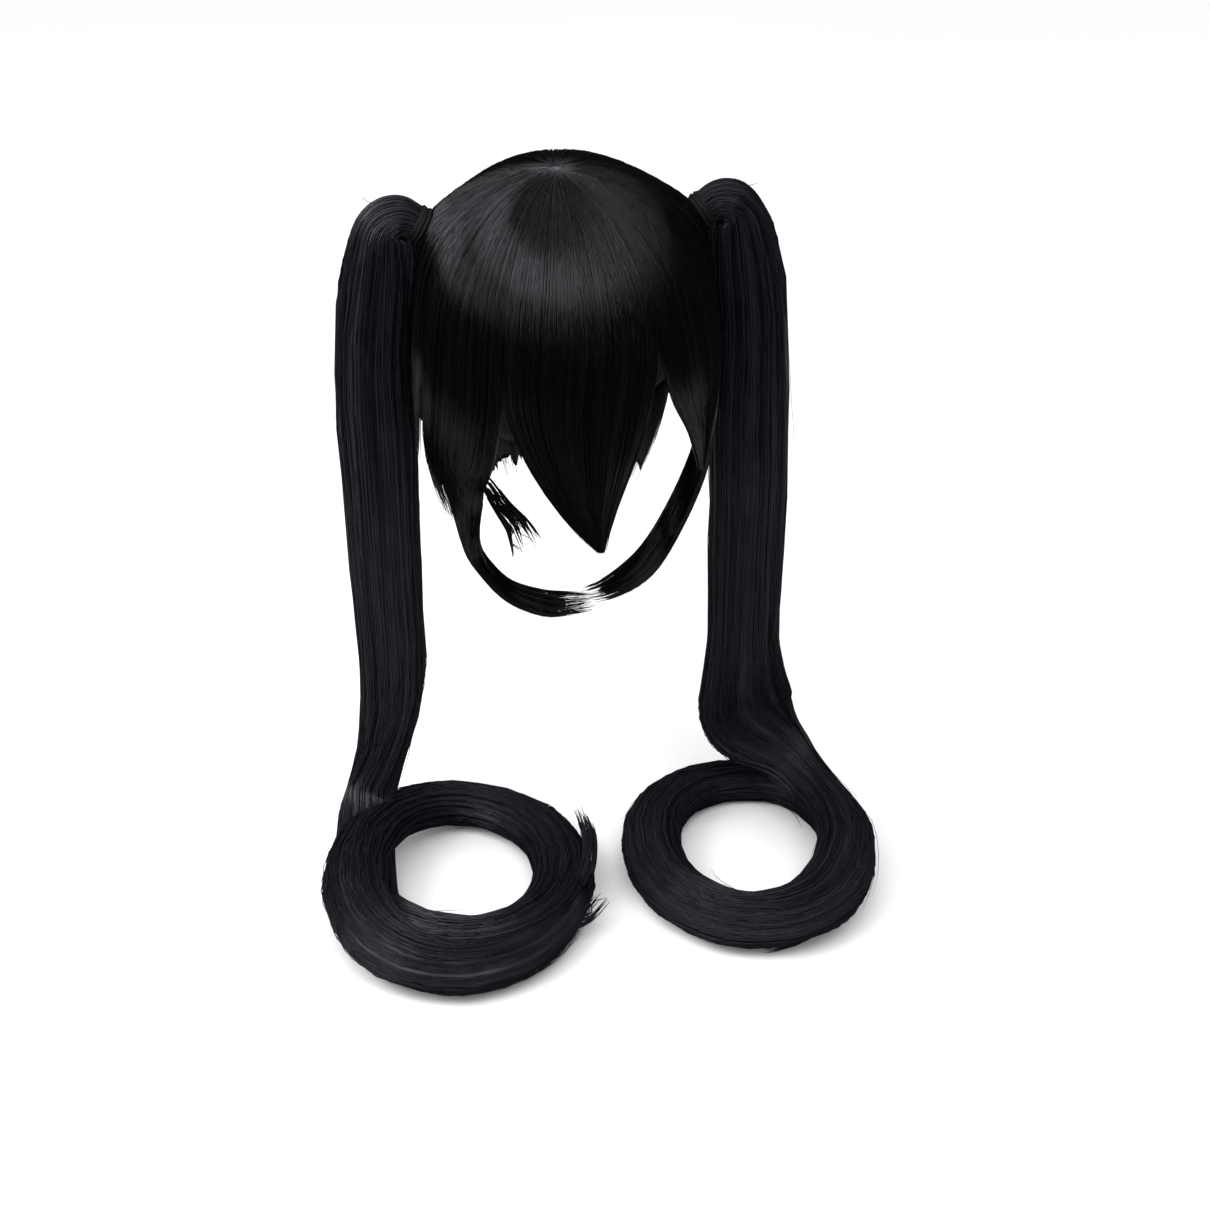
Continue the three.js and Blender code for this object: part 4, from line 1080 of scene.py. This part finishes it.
# Node, strands, material, direction of the thickness, rows: place, half width, half thickness
WISPS = [
    ("temple_lock_right", 80, crown_strand, TOWARD_FACE, [
        (-57, -80, -133, 3, 1), (-47, -86, -149, 4.5, 1.2), (-39.5, -87, -160.5, 6.5, 1.4),
        (-34, -86, -177, 9.5, 1.5),
    ]),
    ("tail_right", 70, tail_strand, TOWARD_SIDE, [
        (-85.5, 8, -20, 6, 2), (-82.3, 8.5, -33, 8, 2.6), (-82.5, 9, -46, 9, 2), (-86, 10.5, -84, 5, 1),
    ]),
    ("tail_left", 70, tail_strand, TOWARD_SIDE, [
        (85.5, 8, -17, 6, 2), (81.8, 8.5, -30, 8, 2.6), (82.3, 9, -44, 9, 2), (86.5, 10.5, -84, 5, 1),
    ]),
    ("tail_right", 90, tail_strand, UPWARD, [
        (-10, -106, -382, 4, 3), (-2, -84, -378, 4, 3), (2, -62, -375, 3.5, 2.5), (0, -41, -369, 2.5, 1.5),
    ]),
    ("tail_right", 60, tail_strand, UPWARD, [
        (-26, -127, -389, 7, 3), (-14, -121, -388, 9, 3), (0, -107, -385, 8, 2),
    ]),
]
for number, (node, count, material, toward, rows) in enumerate(WISPS):
    middle, wide, thick = lock_stations(rows, WISP_LEVELS)
    tube = lock_tube(middle, toward, wide, thick, WISP_SIDES, 0)
    wisp = comb_strands(node + "_wisp_" + str(number), tube, np.linspace(0, 1, WISP_LEVELS), {
        "Count": count, "Points": 14, "Width": 0.0008, "Locks": 7.0, "Closed Round": True, "Gather": 0.85,
        "Own Sway": 0.02, "Start To": 0.15, "End From": 0.7, "Flare": 0.001, "Lowest": LOWEST,
        "Seed": WISP_SEED + number, "Material": material,
    })
    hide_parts(node)
    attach(wisp, "root")

# Studio
# A floor of white paper that the coils lie on, a lit ceiling that the hair mirrors, soft lights in front
# and at one side, the light that the table throws back, and a camera that looks down from the front.
CAMERA_AZIMUTH = math.radians(-10)
CAMERA_ELEVATION = math.radians(27)
CAMERA_DISTANCE = 1.243
CAMERA_TARGET = (0.0225, 0.0, -0.255)
CAMERA_LENS = 62.48
CAMERA_SENSOR = 36.0
FLOOR = 30.0  # half size of the floor in metres
PAPER_DARK = (0.93, 0.93, 0.93)
PAPER_LIGHT = (0.97, 0.97, 0.97)
CEILING_FROM = math.radians(40)  # elevation at which the lit ceiling begins
CEILING_TO = math.radians(50)
CEILING_GLOSS = 0.65
GLOSS_FILL = 0.02  # brightness of the dark room below the ceiling, as the hair mirrors it

floor_mesh = bpy.data.meshes.new("floor")
corners = [(-1, -1), (1, -1), (1, 1), (-1, 1)]
floor_mesh.from_pydata([(FLOOR * x, FLOOR * y, TABLE_Z * MM) for x, y in corners], [], [(0, 1, 2, 3)])
floor = bpy.data.objects.new("floor", floor_mesh)
bpy.context.scene.collection.objects.link(floor)
paper, paper_tree, paper_shader = finish_material("white_paper")
grain = place(paper_tree, "ShaderNodeTexNoise", {"Scale": 60.0, "Detail": 4.0})
paper_colour = between(paper_tree, grain.outputs["Fac"], PAPER_DARK, PAPER_LIGHT)
paper_tree.links.new(paper_colour, paper_shader.inputs["Base Color"])
paper_shader.inputs["Roughness"].default_value = 0.9
paper_shader.inputs["Specular IOR Level"].default_value = 0.1
floor_mesh.materials.append(paper)
floor.visible_glossy = False

world = bpy.data.worlds.new("studio")
bpy.context.scene.world = world
world.use_nodes = True
sky = world.node_tree
background = next(n for n in sky.nodes if n.type == "BACKGROUND")
rays = place(sky, "ShaderNodeLightPath")
look = place(sky, "ShaderNodeSeparateXYZ", {0: place(sky, "ShaderNodeTexCoord").outputs["Generated"]})
gloss = place(sky, "ShaderNodeMapRange", {
    "Value": look.outputs["Z"],
    "From Min": math.sin(CEILING_FROM),
    "From Max": math.sin(CEILING_TO),
    "To Min": GLOSS_FILL,
    "To Max": CEILING_GLOSS,
}, interpolation_type="SMOOTHSTEP")
strength = place(sky, "ShaderNodeMix", {0: rays.outputs["Is Glossy Ray"], 2: 1.0, 3: gloss.outputs[0]})
sky.links.new(strength.outputs[0], background.inputs["Strength"])
background.inputs["Color"].default_value = (1, 1, 1, 1)


def aim(thing, place_at, target):
    """Puts a light or the camera at a place and turns it to look at a target."""
    back = unit(np.subtract(place_at, target))
    right = unit(np.cross((0, 0, 1), back))
    up = np.cross(back, right)
    turn = np.eye(4)
    turn[:3] = np.stack([right, up, back, place_at], -1)
    thing.matrix_world = Matrix(turn.tolist())


# Name, place, target and size in metres, and brightness of each soft light and of the lit table
LIGHTS = [
    ("front_softbox", (-0.3, -0.64, 1.02), (0.0, -0.03, -0.10), (2.2, 0.7), 2.8),
    ("left_window", (-1.07, -0.25, 0.52), (0.0, -0.03, -0.10), (1.2, 0.5), 5.0),
    ("table_front", (0.0, -0.29, -0.395), (0.0, -0.28, 0.0), (0.9, 0.2), 0.8),
    ("table_left", (-0.6, 0.2, -0.395), (-0.6, 0.21, 0.0), (0.5, 0.8), 0.8),
    ("table_right", (0.6, -0.08, -0.395), (0.6, -0.07, 0.0), (0.36, 0.3), 1.2),
    ("table_back", (0.0, 0.75, -0.395), (0.0, 0.76, 0.0), (1.4, 0.6), 1.2),
]
for name, spot, target, (width, height), brightness in LIGHTS:
    data = bpy.data.lights.new(name, "AREA")
    data.shape = "RECTANGLE"
    data.size = width
    data.size_y = height
    data.energy = brightness * math.pi * width * height
    light = bpy.data.objects.new(name, data)
    bpy.context.scene.collection.objects.link(light)
    light.visible_camera = False
    aim(light, spot, target)

camera_data = bpy.data.cameras.new("camera")
camera_data.lens = CAMERA_LENS
camera_data.sensor_width = CAMERA_SENSOR
camera_data.clip_end = 100.0
camera = bpy.data.objects.new("camera", camera_data)
bpy.context.scene.collection.objects.link(camera)
toward = np.array([
    math.sin(CAMERA_AZIMUTH) * math.cos(CAMERA_ELEVATION),
    -math.cos(CAMERA_AZIMUTH) * math.cos(CAMERA_ELEVATION),
    math.sin(CAMERA_ELEVATION),
])
aim(camera, np.array(CAMERA_TARGET) + CAMERA_DISTANCE * toward, CAMERA_TARGET)
bpy.context.scene.camera = camera
bpy.context.scene.view_settings.view_transform = "Standard"
